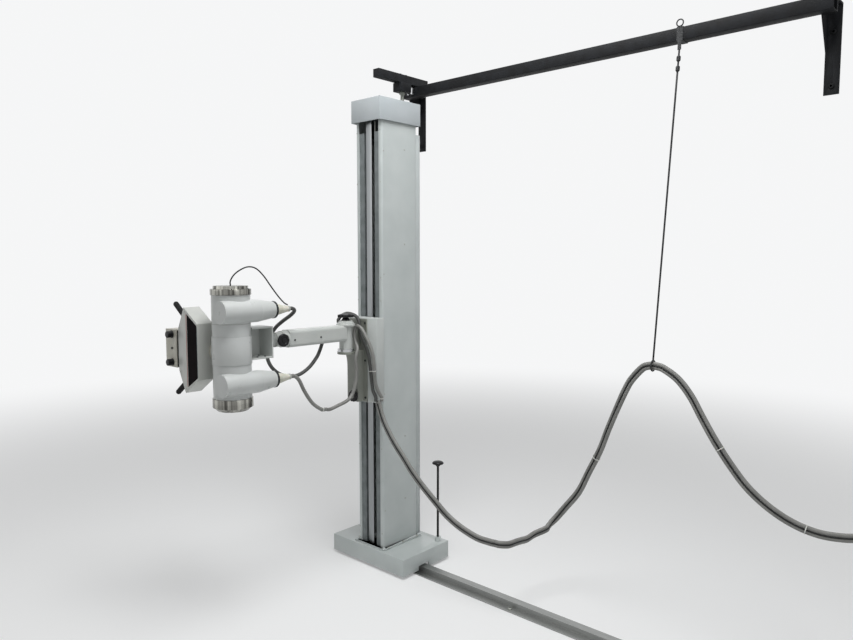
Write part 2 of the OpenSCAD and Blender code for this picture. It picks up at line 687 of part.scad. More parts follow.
module pivot_pin() {
  color("silver") translate([0, -pivot_y, 0]) {
    translate([0, 0, bearing_z - 12]) cylinder(r = pin_r - 3, h = 13);
    translate([0, 0, bearing_z]) cylinder(r = bearing_r - 2, h = bearing_t);
    translate([0, 0, bearing_z]) cylinder(r = pin_r, h = disc_top - bearing_z);
    translate([0, 0, disc_top - 1]) cylinder(r = pin_top_r, h = star_stem + 10);
    for (a = [45:90:315]) rotate(a) translate([34, 0, bearing_z + bearing_t - 5]) cylinder(r = 4, h = 5, $fn = 6);
  }
}
module carriage_knob() {
  color([0.08, 0.08, 0.08]) translate([lock_knob_x, -bracket_face - 4, lock_knob_z]) rotate([90, 0, 0])
    hand_knob(29, 26, 5, 12);
}

// Arm
module arm_tube() {
  color([0.90, 0.92, 0.93]) difference() {
    union() {
      translate([0, -clamp_back_y, arm_z]) rotate([-90, 0, 0]) linear_extrude(clamp_back_y - pivot_y - 20)
        round_rect(arm_w, arm_h, arm_r);
      translate([0, -pivot_y, barrel_z0]) cylinder(r = barrel_r, h = barrel_z1 - barrel_z0);
    }
    translate([0, -clamp_back_y - 1, arm_z]) rotate([-90, 0, 0])
      linear_extrude(clamp_back_y - pivot_y - barrel_r + 1)
        round_rect(arm_w - 2 * arm_wall, arm_h - 2 * arm_wall, arm_r - arm_wall);
    translate([0, -pivot_y, barrel_z0 - 1]) cylinder(r = pin_r + fit_gap, h = barrel_z1 - barrel_z0 + 2);
    translate([0, -pivot_y, arm_z + arm_h / 2 - 6]) cylinder(r = disc_r + run_gap, h = 10);
  }
}
module arm_clamp() {
  color([0.90, 0.92, 0.93]) difference() {
    union() {
      translate([0, -clamp_back_y - clamp_plate_t, arm_z]) rotate([-90, 0, 0]) linear_extrude(clamp_plate_t)
        round_rect(arm_w, arm_h, arm_r);
      translate([0, 0, arm_z]) along_y(collar_r, -collar_y, -clamp_back_y - clamp_plate_t + 1);
      translate([0, 0, arm_z]) along_y(boss_r, -arm_front_y, -collar_y + 1);
    }
    translate([0, 0, arm_z]) along_y(shaft_d / 2 + fit_gap, -arm_front_y - 1, -clamp_back_y + 1);
    translate([0, -tube_lock_y, arm_z]) along_x(5 + fit_gap, 0, arm_w);
  }
}
module pivot_disc() {
  color([0.86, 0.88, 0.89]) translate([0, -pivot_y, 0]) difference() {
    union() {
      translate([0, 0, barrel_z1]) cylinder(r = disc_r, h = disc_t * 0.4);
      translate([0, 0, barrel_z1]) cylinder(r = disc_r - 6, h = disc_t * 0.7);
      translate([0, 0, barrel_z1]) cylinder(r = disc_r - 12, h = disc_t);
    }
    translate([0, 0, barrel_z1 - 1]) cylinder(r = pin_r + fit_gap, h = disc_t + 2);
  }
}
// A five-lobed knob on a conical stem
module swivel_knob() {
  z = knob_z0;
  color([0.06, 0.06, 0.07]) translate([0, -pivot_y, z]) difference() {
    union() {
      rotate_extrude() polygon([[0, 0], [24, 0], [13, star_stem], [27, star_stem], [27, star_stem + 18],
        [0, star_stem + 18]]);
      for (a = [0:72:288]) rotate(a) translate([30, 0, star_stem + 1]) cylinder(r = 12, h = 15);
    }
    translate([0, 0, -1]) cylinder(r = pin_top_r + fit_gap, h = star_stem + 11);
  }
}
module tube_lock_knob() {
  color([0.06, 0.06, 0.07]) translate([tube_lock_x, -tube_lock_y, arm_z]) rotate([0, 90, 0])
    hand_knob(30, 20, 5, tube_lock_x - shaft_d / 2 - run_gap);
}

// Tube head
module turn_shaft() {
  color([0.88, 0.89, 0.90]) translate([0, 0, arm_z]) {
    along_y(shaft_d / 2, -yoke_web_y, -shaft_end_y);
    along_y(shaft_d / 2 + 12, -yoke_web_y, -yoke_web_y + 10);
  }
}
module yoke_bracket() {
  y0 = -tube_y + 40;
  y1 = -yoke_web_y;
  color([0.86, 0.88, 0.89]) difference() {
    box([-yoke_x, y0, yoke_z0], [yoke_x, y1, yoke_z1]);
    box([-yoke_x + yoke_wall, y0 - 1, yoke_z0 + yoke_wall], [yoke_x + 1, y1 - yoke_wall, yoke_z1 - yoke_wall]);
    translate([0, -tube_y, yoke_z0 - 1]) cylinder(r = tube_r + band_t + 0.1, h = yoke_z1 - yoke_z0 + 2);
  }
}
module tube_band() {
  color([0.72, 0.74, 0.75]) translate([0, -tube_y, band_z0]) difference() {
    cylinder(r = tube_r + band_t, h = band_z1 - band_z0);
    translate([0, 0, -1]) cylinder(r = tube_r + 0.1, h = band_z1 - band_z0 + 2);
    translate([port_x0 - 20, 0, beam_z - band_z0]) along_x(port_r + 1, 0, 60);
  }
}
module horn(z) {
  translate([horn_x, 0, z]) {
    along_y(horn_d / 2, -horn_front_y, -horn_cone_y);
    translate([0, -horn_cone_y - 0.01, 0]) rotate([-90, 0, 0])
      cylinder(r1 = horn_d / 2, r2 = horn_end_r, h = horn_cone_y - horn_end_y);
  }
}
module tube_housing() {
  color([0.72, 0.74, 0.75]) difference() {
    union() {
      translate([0, -tube_y, tube_z0]) cylinder(r = tube_r, h = tube_z1 - tube_z0);
      horn(horn_z0);
      horn(horn_z1);
    }
    translate([0, -tube_y, tube_z0 - 1]) cylinder(r = tube_r - 6, h = tube_z1 - tube_z0 + 2);
    translate([0, -tube_y, beam_z]) along_x(beam_r, -tube_r - 5, 0);
  }
}
module end_rings() {
  color([0.75, 0.74, 0.72]) translate([0, -tube_y, 0]) difference() {
    end_ring_forms();
    translate([0, 0, low_ring_z0]) cylinder(r = tube_r - 14, h = tube_z0 - low_ring_z0 + 1);
    translate([0, 0, tube_z1 - 1]) cylinder(r = tube_r - 14, h = top_ring_z1 - tube_z1 - 4);
  }
}
module end_ring_forms() {
  union() {
    translate([0, 0, tube_z1]) cylinder(d = ring_d, h = top_ring_z1 - tube_z1);
    translate([0, 0, top_ring_z1 - 1]) cylinder(d = ring_d - 24, h = top_cap_z1 - top_ring_z1 + 1);
    translate([0, 0, low_ring_z0]) cylinder(d = ring_d, h = tube_z0 - low_ring_z0);
    translate([0, 0, low_cap_z0]) cylinder(d1 = ring_d - 40, d2 = ring_d - 8, h = low_ring_z0 - low_cap_z0);
  }
}
module tube_insert() {
  color([0.8, 0.85, 0.85]) translate([0, -tube_y, 0]) rotate_extrude() polygon([[0, low_ring_z0], [20, low_ring_z0],
    [20, beam_z - 40], [bulb_r, beam_z], [bulb_r, beam_z + bulb_h], [bulb_neck_r, beam_z + bulb_h + 30],
    [bulb_neck_r, top_ring_z1 - 5], [0, top_ring_z1 - 5]]);
}
// Clamping rings, boots and gland tips of the two cable plugs
module cable_plugs() {
  color([0.88, 0.87, 0.80]) for (z = [horn_z0, horn_z1])
    translate([horn_x, -horn_end_y, z]) rotate([-90, 0, 0]) rotate_extrude()
      polygon([[0, 0], [horn_end_r + 2, 0], [horn_end_r + 2, plug_ring_t], [boot_r0, plug_ring_t],
        [boot_r0, plug_ring_t + 10], [boot_r1, plug_ring_t + boot_len], [0, plug_ring_t + boot_len]]);
}
module port_flange() {
  color([0.72, 0.74, 0.75]) translate([0, -tube_y, beam_z]) difference() {
    union() {
      along_x(port_r, port_x1, -40);
      along_x(hub_r, port_x1 - 8, port_x1 + 1);
    }
    along_x(beam_r, port_x1 - 10, 0);
    translate([0, 0, tube_z0 - beam_z]) cylinder(r = tube_r + 0.1, h = tube_z1 - tube_z0);
  }
}

// Collimator
module collimator_body() {
  h = coll_h / 2;
  color([0.82, 0.81, 0.77]) difference() {
    union() {
      box([-coll_reach, -coll_front_y, beam_z - h], [coll_neck_x, -coll_back_y, beam_z + h]);
      box([coll_neck_x - 1, -hex_y1 + run_gap, beam_z - h], [coll_x0, -coll_back_y, beam_z + h]);
      translate([0, -tube_y, beam_z]) along_x(port_r, coll_x0, port_x1 - run_gap);
    }
    translate([0, -tube_y, beam_z]) along_x(hub_r + fit_gap, coll_x0 - coll_wall - 1, port_x1 + 1);
    box([-coll_reach - 1, -tube_y - 70, beam_z - 66], [-coll_reach + coll_wall + 1, -tube_y + 70, beam_z + 66]);
    box([-coll_reach + coll_wall, -coll_front_y + coll_wall, beam_z - h + coll_wall],
      [coll_neck_x - coll_wall, -coll_back_y - coll_wall, beam_z + h - coll_wall]);
    box([coll_neck_x - coll_wall - 1, -hex_y1 + coll_wall, beam_z - h + coll_wall],
      [coll_x0 - coll_wall, -coll_back_y - coll_wall, beam_z + h - coll_wall]);
    translate([coll_knob_x, 0, beam_z]) along_y(button_r + fit_gap, -coll_front_y - 1, -coll_front_y + coll_wall + 1);
  }
}
// The six-sided outline of the front housing, or the same drawn in by a wall
module hex_outline() { polygon(concat(hex_edge, [for (i = [2:-1:0]) [hex_edge[i][0], -hex_edge[i][1]]])); }
module collimator_housing() {
  color([0.86, 0.88, 0.89]) difference() {
    translate([0, -hex_y1, beam_z]) rotate([90, 0, 0]) linear_extrude(hex_t) hex_outline();
    translate([0, -hex_y1 - coll_wall, beam_z]) rotate([90, 0, 0]) linear_extrude(hex_t - 2 * coll_wall)
      polygon(hex_inside);
    translate([0, -hex_y0 + 2, beam_z]) rotate([90, 0, 0]) linear_extrude(10)
      polygon(window_outline);
  }
}
hex_inside = [[-116, 117], [-218, 182], [-266, 91], [-266, -91], [-218, -182], [-116, -117]];
window_outline = [[-117, 112], [-196, 158], [-196, -158], [-117, -112]];
module grip(s) {
  translate([-grip_base[0], -hex_y0 + 20, beam_z + s * grip_base[1]]) rotate([0, -90 + s * grip_tilt, 0]) {
    cylinder(r = grip_r, h = grip_len);
    translate([0, 0, grip_len]) sphere(grip_r);
  }
}
module collimator_window() {
  color([0.07, 0.05, 0.06]) {
    translate([0, -hex_y0 + 2, beam_z]) rotate([90, 0, 0]) linear_extrude(1)
      polygon(window_outline);
    box([-coll_reach + 1, -tube_y - 69.8, beam_z - 65.8], [-coll_reach + coll_wall, -tube_y + 69.8, beam_z + 65.8]);
  }
}
module collimator_gasket() {
  color([0.1, 0.1, 0.11]) box([coll_neck_x, -coll_front_y + coll_wall, beam_z - gasket_z],
    [hex_edge[2][0], -hex_y1, beam_z + gasket_z]);
}
module collimator_grips() {
  color([0.1, 0.1, 0.11]) for (s = [-1, 1]) difference() {
    grip(s);
    translate([0, -hex_y1 + 1, beam_z]) rotate([90, 0, 0]) linear_extrude(hex_t + 2) hex_outline();
  }
}
module collimator_knob(s) {
  color([0.06, 0.06, 0.07])
    translate([coll_knob_x, -coll_front_y - run_gap, beam_z + s * coll_knob_z]) rotate([90, 0, 0]) {
      cylinder(d = coll_knob_d + 4, h = 3);
      cylinder(d = coll_knob_d, h = coll_knob_len);
    }
}
module collimator_knob_upper() { collimator_knob(1); }
module collimator_knob_lower() { collimator_knob(-1); }
module lamp_button() {
  color([0.06, 0.06, 0.07]) translate([coll_knob_x, 0, beam_z])
    along_y(button_r, -coll_front_y - 4, -coll_front_y + 2);
}

// Cables
module cable_lower() { color("gray") cord_tube(lower_cable, head_cable_d); }
module cable_riser() { color("gray") cord_tube(riser_cable, head_cable_d); }
module cable_upper() { color("dimgray") cord_tube(upper_cable, head_cable_d, [1, 0.1, 0.3]); }
module cable_rear() { color("dimgray") cord_tube(rear_cable, head_cable_d, [1, 0.1, 0.3]); }
module top_wire() { color([0.1, 0.1, 0.1]) cord_tube(wire_route, wire_d, [1, 0.1, 0.1]); }
module cable_bundle() { color("gray") cord_tube(bundle_route, bundle_d); }
module cable_crossing() { color("gray") cord_tube(crossing_route, bundle_d); }
module cable_wall_run() { color("gray") cord_tube(wall_route, bundle_d); }

floor_rail();
wall_rail();
wall_brackets();
rail_strap();
cable_saddle();
base_trolley();
mast_foot();
mast();
guide_bars();
front_strip();
rear_cover();
mast_cap();
sheave_axle();
guide_bar_top();
guide_plate();
base_wheel_left();
base_wheel_right();
guide_roller_front();
guide_roller_rear();
brake_rod();
sheaves();
rope_front();
rope_rear();
counterweight();
carriage_box();
carriage_inner();
pivot_bracket();
pivot_pin();
carriage_rollers_upper();
carriage_rollers_lower();
carriage_knob();
arm_tube();
arm_clamp();
pivot_disc();
swivel_knob();
tube_lock_knob();
turn_shaft();
yoke_bracket();
tube_band();
tube_housing();
end_rings();
tube_insert();
cable_plugs();
port_flange();
collimator_body();
collimator_housing();
collimator_window();
collimator_gasket();
collimator_grips();
collimator_knob_upper();
collimator_knob_lower();
lamp_button();
cable_lower();
cable_riser();
cable_upper();
cable_rear();
top_wire();
cable_bundle();
cable_crossing();
cable_wall_run();
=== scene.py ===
# %% [markdown]
# # An x-ray tube stand
#
# A tall column rolls on a floor rail and is steadied by a black rail on the wall. A counterbalanced
# carriage climbs the column and holds a short swivel arm, and the arm carries the x-ray tube in its
# steel housing, with the collimator that shapes the beam. The solids come from the CAD frame; this
# lesson gives them soft edges, real finishes, and the small parts that the frame leaves out.

# %% Load the frame
import json
import math

import bmesh
import bpy
from mathutils import Matrix, Vector

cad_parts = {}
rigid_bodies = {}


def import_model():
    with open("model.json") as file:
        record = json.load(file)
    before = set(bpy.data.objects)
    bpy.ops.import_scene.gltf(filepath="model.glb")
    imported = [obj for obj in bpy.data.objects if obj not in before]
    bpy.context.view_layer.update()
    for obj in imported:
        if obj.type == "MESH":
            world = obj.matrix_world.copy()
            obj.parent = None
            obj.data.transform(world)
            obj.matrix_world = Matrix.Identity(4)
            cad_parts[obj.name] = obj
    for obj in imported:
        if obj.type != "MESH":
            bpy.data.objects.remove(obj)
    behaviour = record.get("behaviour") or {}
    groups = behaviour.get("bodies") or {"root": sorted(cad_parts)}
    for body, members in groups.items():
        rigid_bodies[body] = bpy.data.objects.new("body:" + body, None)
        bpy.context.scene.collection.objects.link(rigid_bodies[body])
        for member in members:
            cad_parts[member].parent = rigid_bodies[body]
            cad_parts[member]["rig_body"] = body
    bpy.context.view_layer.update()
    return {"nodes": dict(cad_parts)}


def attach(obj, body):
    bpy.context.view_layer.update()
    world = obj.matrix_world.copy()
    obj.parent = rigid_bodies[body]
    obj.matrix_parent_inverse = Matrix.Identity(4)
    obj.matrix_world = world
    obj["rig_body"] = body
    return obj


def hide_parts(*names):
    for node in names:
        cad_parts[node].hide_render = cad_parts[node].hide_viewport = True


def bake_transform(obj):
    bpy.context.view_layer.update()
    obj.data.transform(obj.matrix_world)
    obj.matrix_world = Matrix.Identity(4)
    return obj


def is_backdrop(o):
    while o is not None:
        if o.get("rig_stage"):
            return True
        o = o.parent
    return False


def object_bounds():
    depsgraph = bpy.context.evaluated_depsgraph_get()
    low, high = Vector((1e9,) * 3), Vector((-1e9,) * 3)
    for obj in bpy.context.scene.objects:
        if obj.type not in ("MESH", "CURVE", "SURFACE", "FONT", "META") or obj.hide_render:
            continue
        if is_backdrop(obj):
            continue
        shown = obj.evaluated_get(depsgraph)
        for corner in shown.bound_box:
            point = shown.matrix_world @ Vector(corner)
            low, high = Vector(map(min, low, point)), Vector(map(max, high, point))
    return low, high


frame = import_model()
scene = bpy.context.scene

# %% [markdown]
# The camera stands where the photograph was taken: about three and a half metres from the column, a
# little above the tube head, looking slightly down. A short lens is what makes the wall rail run so
# steeply out of the picture.

# %% Camera
EYE = Vector((2.59, -2.55, 1.57))
TURN, TILT = math.radians(42.2), math.radians(4.87)
SENSOR_MM, LENS_MM = 36, 29.75
look = Vector((-math.sin(TURN) * math.cos(TILT), math.cos(TURN) * math.cos(TILT), -math.sin(TILT)))
camera_data = bpy.data.cameras.new("room_camera")
camera_data.sensor_width = SENSOR_MM
camera_data.lens = LENS_MM
camera = bpy.data.objects.new("room_camera", camera_data)
camera.location = EYE
camera.rotation_euler = look.to_track_quat("-Z", "Y").to_euler()
scene.collection.objects.link(camera)
scene.camera = camera
scene.view_settings.view_transform = "Standard"
print("camera at", [round(c, 2) for c in EYE], "with a lens of", LENS_MM, "mm")

# %% [markdown]
# A few small helpers serve every finish below. One turns an sRGB hex colour into the linear numbers
# that Blender's sockets want, one adds a node with its settings and links, and one starts a material
# with its shader. The others lay a drift of tone, an uneven gloss or a fine grain on it. Patterns
# read Object coordinates, which here are metres in the CAD's own frame and are turned into
# millimetres, so a pattern's scale is simply one over its real size.


# %% Helpers for materials
def linear(code):
    """An sRGB hex colour as the linear red, green, blue and alpha that a socket takes."""
    parts = [int(code[i:i + 2], 16) / 255 for i in (0, 2, 4)]
    return [p / 12.92 if p <= 0.04045 else ((p + 0.055) / 1.055) ** 2.4 for p in parts] + [1.0]


def add(owner, kind, links=None, values=None, **settings):
    """Adds one node to a material, a world or a node tree, with its settings, values and links."""
    tree = getattr(owner, "node_tree", owner)
    node = tree.nodes.new(kind)
    for name, value in settings.items():
        setattr(node, name, value)
    for name, value in (values or {}).items():
        node.inputs[name].default_value = value
    for name, output in (links or {}).items():
        tree.links.new(output, node.inputs[name])
    return node


def new_material(name, colour, roughness, metallic=0.0, **sockets):
    """A material with one Principled shader, whose uniform values are set on its own sockets."""
    material = bpy.data.materials.new(name)
    material.use_nodes = True
    shader = material.node_tree.nodes["Principled BSDF"]
    shader.inputs["Base Color"].default_value = linear(colour)
    shader.inputs["Roughness"].default_value = roughness
    shader.inputs["Metallic"].default_value = metallic
    for socket, value in sockets.items():
        shader.inputs[socket.replace("_", " ")].default_value = value
    material.diffuse_color = linear(colour)
    return material


def joined(material, output, socket):
    """Links an output to a socket of the material's shader."""
    material.node_tree.links.new(output, material.node_tree.nodes["Principled BSDF"].inputs[socket])


def millimetres(material, scale=(1, 1, 1)):
    """Object coordinates counted in millimetres, stretched by a scale."""
    place = add(material, "ShaderNodeTexCoord")
    return add(material, "ShaderNodeMapping", {"Vector": place.outputs["Object"]},
               {"Scale": [1000 * s for s in scale]}).outputs["Vector"]


def two_shades(material, factor, colour_a, colour_b, low, high):
    """Colours a surface from one shade to another as a pattern's factor goes from low to high."""
    ramp = add(material, "ShaderNodeValToRGB", {"Fac": factor})
    for stop, place, colour in zip(ramp.color_ramp.elements, (low, high), (colour_a, colour_b)):
        stop.position = place
        stop.color = linear(colour)
    joined(material, ramp.outputs["Color"], "Base Color")


def mottled(material, colour_a, colour_b, size_mm, low=0.4, high=0.6):
    """Two shades that drift into each other over a size in millimetres."""
    noise = add(material, "ShaderNodeTexNoise", {"Vector": millimetres(material)},
                {"Scale": 1 / size_mm, "Detail": 3})
    two_shades(material, noise.outputs["Fac"], colour_a, colour_b, low, high)


def uneven_gloss(material, low, high, size_mm):
    """Roughness that wanders between two values, as wiped and handled paint does."""
    noise = add(material, "ShaderNodeTexNoise", {"Vector": millimetres(material)},
                {"Scale": 1 / size_mm, "Detail": 4})
    span = add(material, "ShaderNodeMapRange", {"Value": noise.outputs["Fac"]},
               {"To Min": low, "To Max": high})
    joined(material, span.outputs["Result"], "Roughness")


def grain(material, size_mm, height_mm, detail=2):
    """A fine bump of a real grain size and height."""
    noise = add(material, "ShaderNodeTexNoise", {"Vector": millimetres(material)},
                {"Scale": 1 / size_mm, "Detail": detail})
    bump = add(material, "ShaderNodeBump", {"Height": noise.outputs["Fac"]},
               {"Strength": 1.0, "Distance": height_mm / 1000})
    joined(material, bump.outputs["Normal"], "Normal")


# %% [markdown]
# The column, carriage and arm are steel sheet and tube under a baked stove enamel. Enamel gives a
# smooth, slightly glossy skin with a faint orange peel about two millimetres across, and a tone
# that drifts a little where hands and cloths have polished it. Nine shades tell the parts apart, the
# casting's being the darkest, and each is written with the darker one that it drifts to.


# %% Painted sheet steel
def enamel(name, colour, other, roughness=0.34):
    """Baked enamel on sheet steel: faint orange peel, uneven gloss, a slow drift of tone."""
    material = new_material(name, colour, roughness, IOR=1.5, Coat_Weight=0.12, Coat_Roughness=0.2)
    mottled(material, colour, other, size_mm=140, low=0.3, high=0.7)
    uneven_gloss(material, roughness - 0.06, roughness + 0.1, size_mm=60)
    grain(material, size_mm=2.2, height_mm=0.035)
    return material


column_enamel = enamel("column_enamel", "BDC3C2", "B4BBBA")
cap_enamel = enamel("cap_enamel", "B2B8BB", "A9B0B3")
arm_enamel = enamel("arm_enamel", "BFC2BF", "B5B9B6")
carriage_enamel = enamel("carriage_enamel", "BABEBC", "AFB4B2")
casting_enamel = enamel("casting_enamel", "858880", "797C75", roughness=0.42)
housing_enamel = enamel("housing_enamel", "C2C5C4", "B8BBB9", roughness=0.28)
collimator_enamel = enamel("collimator_enamel", "BFC1BC", "B4B6B2", roughness=0.36)
knob_box_enamel = enamel("knob_box_enamel", "BDBBAF", "B2B0A4", roughness=0.4)
rear_enamel = enamel("rear_enamel", "B6BCBC", "AEB4B4")
print("materials after the enamels:", len(bpy.data.materials))

# %% [markdown]
# The black parts are of three kinds. The rails and brackets have a powder coat, which is matt and
# slightly pebbled. The hand knobs are pressed phenolic, which is dense and takes a gloss where hands
# rub it. The collimator's grips and gasket are moulded rubber, duller than both. The bars inside the
# column's opening aren't black: they have a mid grey enamel, with dark shadow between them.


# %% Black finishes and the grey bars
def powder_coat(name, colour, other):
    """Powder coat: a pebbled skin, each pebble about a millimetre wide."""
    material = new_material(name, colour, 0.6, IOR=1.5, Specular_IOR_Level=0.2)
    mottled(material, colour, other, size_mm=45)
    uneven_gloss(material, 0.52, 0.7, size_mm=25)
    grain(material, size_mm=1.1, height_mm=0.06, detail=3)
    return material


black_coat = powder_coat("black_powder_coat", "0E0F11", "15171A")
# The carriage's inner part gets a dark grey coat as painted shade for the recess that it sits in.
recess_shade_coat = powder_coat("painted_recess_shade", "3A4140", "30383A")
phenolic = new_material("pressed_phenolic", "101012", 0.3, IOR=1.58, Specular_IOR_Level=0.2)
mottled(phenolic, "0C0C0E", "151517", size_mm=6)
uneven_gloss(phenolic, 0.26, 0.42, size_mm=9)
bar_enamel = new_material("guide_bar_enamel", "6F7576", 0.45, IOR=1.5, Specular_IOR_Level=0.3)
mottled(bar_enamel, "6A7071", "7A8081", size_mm=60)
uneven_gloss(bar_enamel, 0.4, 0.55, size_mm=18)
black_rubber = new_material("moulded_rubber", "151516", 0.72, IOR=1.52, Specular_IOR_Level=0.15)
mottled(black_rubber, "131314", "1E1E1F", size_mm=12)
grain(black_rubber, size_mm=0.8, height_mm=0.05)

# %% [markdown]
# Bare metal shows on the end rings of the tube housing, the strip down the column, the shafts and
# the screws. Brushed metal is a noise stretched along one axis, the column's height or the rail's
# length. On most parts the lines are under a millimetre wide and faint. The end rings are turned
# steel, and their bands are painted reflection: sixteen millimetres wide and going from dark to
# bright, they stand in for what stands round them, mirrored in broad upright bands.

# %% Bare metals
BRUSH_SHORTEN = 0.012  # a brush line is about eighty times as long as it is wide
STRAND_BANDS = 0.16  # this scale of a wave texture lays its bands about two millimetres apart


def brushed(name, colour, other, along, roughness, line_mm=0.9):
    """Metal with lines of one width that run along one axis."""
    material = new_material(name, colour, roughness, metallic=1.0)
    stretch = [BRUSH_SHORTEN if axis == along else 1.0 for axis in "xyz"]
    lines = add(material, "ShaderNodeTexNoise", {"Vector": millimetres(material, stretch)},
                {"Scale": 1 / line_mm, "Detail": 3})
    two_shades(material, lines.outputs["Fac"], colour, other, low=0.35, high=0.65)
    span = add(material, "ShaderNodeMapRange", {"Value": lines.outputs["Fac"]},
               {"To Min": roughness - 0.08, "To Max": roughness + 0.14})
    joined(material, span.outputs["Result"], "Roughness")
    return material


# The end rings' bands from dark to bright are painted reflection on turned steel, sixteen millimetres wide.
ring_steel_painted_reflection = brushed("turned_steel_painted_reflection", "4E4D49", "AEADA6", "z", roughness=0.2, line_mm=16)
strip_metal = brushed("brushed_aluminium", "A2A5A7", "8E9192", "z", roughness=0.32)
rail_steel = brushed("drawn_steel", "A4A5A3", "8C8E8D", "x", roughness=0.36)
shaft_steel = brushed("ground_steel", "C4C5C6", "AEB0B2", "z", roughness=0.22)
zinc = brushed("zinc_plate", "B9BBB6", "A3A59E", "z", roughness=0.34)
dark_screw = new_material("browned_screw_steel", "2A2C2E", 0.36, metallic=0.85)
mottled(dark_screw, "242628", "3A3C3E", size_mm=3)
weight_iron = new_material("painted_cast_iron", "3E4143", 0.6)
mottled(weight_iron, "383B3D", "47494B", size_mm=18)
grain(weight_iron, size_mm=1.5, height_mm=0.12)
wire_rope = new_material("wire_rope", "8E8F8C", 0.38, metallic=0.9)
twist = add(wire_rope, "ShaderNodeTexWave", {"Vector": millimetres(wire_rope, (1, 1, 0.6))},
            {"Scale": STRAND_BANDS, "Distortion": 0.3}, bands_direction="DIAGONAL")
strand = add(wire_rope, "ShaderNodeBump", {"Height": twist.outputs["Fac"]},
             {"Strength": 1.0, "Distance": 0.0006})
joined(wire_rope, strand.outputs["Normal"], "Normal")

# %% [markdown]
# The rest are plastics, glass and woven goods. The plug boots are soft cream vinyl. The cables have
# a grey vinyl sheath that takes a dull shine, and the upper one wears a dark braided sleeve. The cord
# that lifts the cables is braided elastic, and its strap is nylon webbing. Their threads are drawn two
# or three millimetres wide, which is coarser than real ones, so that they show.

# %% Plastics, glass and woven goods
WAVE_PERIOD = 0.314  # how far apart a wave texture's bands lie at a scale of one
WEBBING_RIB_MM = 2

boot_vinyl = new_material("cream_vinyl", "C9C9BC", 0.5, IOR=1.52, Subsurface_Weight=0.05)
mottled(boot_vinyl, "CCCCC0", "BEBEB0", size_mm=22)
grain(boot_vinyl, size_mm=1.4, height_mm=0.04)
grey_sheath = new_material("grey_vinyl_sheath", "7C7C79", 0.46, IOR=1.52)
mottled(grey_sheath, "838380", "737370", size_mm=70, low=0.3, high=0.7)
uneven_gloss(grey_sheath, 0.38, 0.58, size_mm=20)
black_sheath = new_material("black_vinyl_sheath", "161718", 0.42, IOR=1.52, Specular_IOR_Level=0.25)
mottled(black_sheath, "141516", "1E2021", size_mm=25)
white_nylon = new_material("white_nylon_tie", "D4D4CF", 0.4, IOR=1.53, Subsurface_Weight=0.05)
mottled(white_nylon, "D8D8D3", "C8C8C2", size_mm=5)
dark_glass = new_material("dark_acrylic_window", "120D10", 0.2, IOR=1.49, Specular_IOR_Level=0.01)
mottled(dark_glass, "0B0809", "130D10", size_mm=60)
red_line = new_material("red_enamel_line", "9A3A30", 0.4, IOR=1.5)
mottled(red_line, "9E3C32", "8C352C", size_mm=8)
teal_line = new_material("teal_gasket", "3D4B4E", 0.5, IOR=1.5)
mottled(teal_line, "3F4D50", "364447", size_mm=8)
insert_glass = new_material("tube_glass", "DDE6E4", 0.06, IOR=1.47, Transmission_Weight=0.9)
mottled(insert_glass, "DDE6E4", "D2DEDB", size_mm=60)


def weave(material, colour, other, pitch_mm):
    """Threads that cross at right angles, from two waves laid on the piece's own UV map in metres."""
    uv = add(material, "ShaderNodeUVMap", uv_map="length")
    scaled = add(material, "ShaderNodeMapping", {"Vector": uv.outputs["UV"]},
                 {"Scale": [1000.0, 1000.0, 1.0], "Rotation": [0, 0, math.radians(45)]})
    warp, weft = [add(material, "ShaderNodeTexWave", {"Vector": scaled.outputs["Vector"]},
                      {"Scale": WAVE_PERIOD / pitch_mm}, bands_direction=axis) for axis in "XY"]
    cross = add(material, "ShaderNodeMath", {0: warp.outputs["Fac"], 1: weft.outputs["Fac"]},
                operation="MULTIPLY")
    two_shades(material, cross.outputs["Value"], colour, other, low=0.0, high=1.0)
    bump = add(material, "ShaderNodeBump", {"Height": cross.outputs["Value"]},
               {"Strength": 0.8, "Distance": 0.0004})
    joined(material, bump.outputs["Normal"], "Normal")


dark_sheath = new_material("braided_sleeve", "3B3F42", 0.6, IOR=1.5)
weave(dark_sheath, "393A39", "5E5F5D", pitch_mm=3.0)
braided_elastic = new_material("braided_elastic", "17181A", 0.7, IOR=1.5)
weave(braided_elastic, "111213", "2E3033", pitch_mm=2.0)
webbing = new_material("nylon_webbing", "1A1B1D", 0.7, IOR=1.5)
mottled(webbing, "18191B", "242628", size_mm=4)
ribs = add(webbing, "ShaderNodeTexWave", {"Vector": millimetres(webbing)},
           {"Scale": WAVE_PERIOD / WEBBING_RIB_MM}, bands_direction="Z")
rib_bump = add(webbing, "ShaderNodeBump", {"Height": ribs.outputs["Fac"]},
               {"Strength": 0.6, "Distance": 0.0005})
joined(webbing, rib_bump.outputs["Normal"], "Normal")
print("materials:", len(bpy.data.materials))

# %% [markdown]
# ## Cables
#
# The cables come before anything else that is dressed, because their routes decide how far the
# model reaches. Each route repeats the CAD's own points, in millimetres. A smooth curve through them
# bends like a real cable, and the tube that follows it carries a UV map that counts metres along
# and round the cable, so a braid follows every bend.

# %% Smooth routes and tubes
STEPS = 6  # steps of the smooth curve between two points of a route


def smooth(points):
    """A Catmull-Rom curve in metres through points in millimetres."""
    path = [Vector(p) / 1000 for p in points]
    ends = [2 * path[0] - path[1]] + path + [2 * path[-1] - path[-2]]
    out = []
    for i in range(1, len(ends) - 2):
        a, b, c, d = ends[i - 1:i + 3]
        for k in range(STEPS):
            t = k / STEPS
            out.append(0.5 * ((2 * b) + (c - a) * t + (2 * a - 5 * b + 4 * c - d) * t * t
                              + (3 * b - a - 3 * c + d) * t ** 3))
    return out + [path[-1]]


def length_of(path):
    """A path's length, added up from point to point."""
    return sum((b - a).length for a, b in zip(path, path[1:]))


def heading_at(path, i):
    """The direction in which a path runs at one of its points."""
    return (path[min(i + 1, len(path) - 1)] - path[max(i - 1, 0)]).normalized()


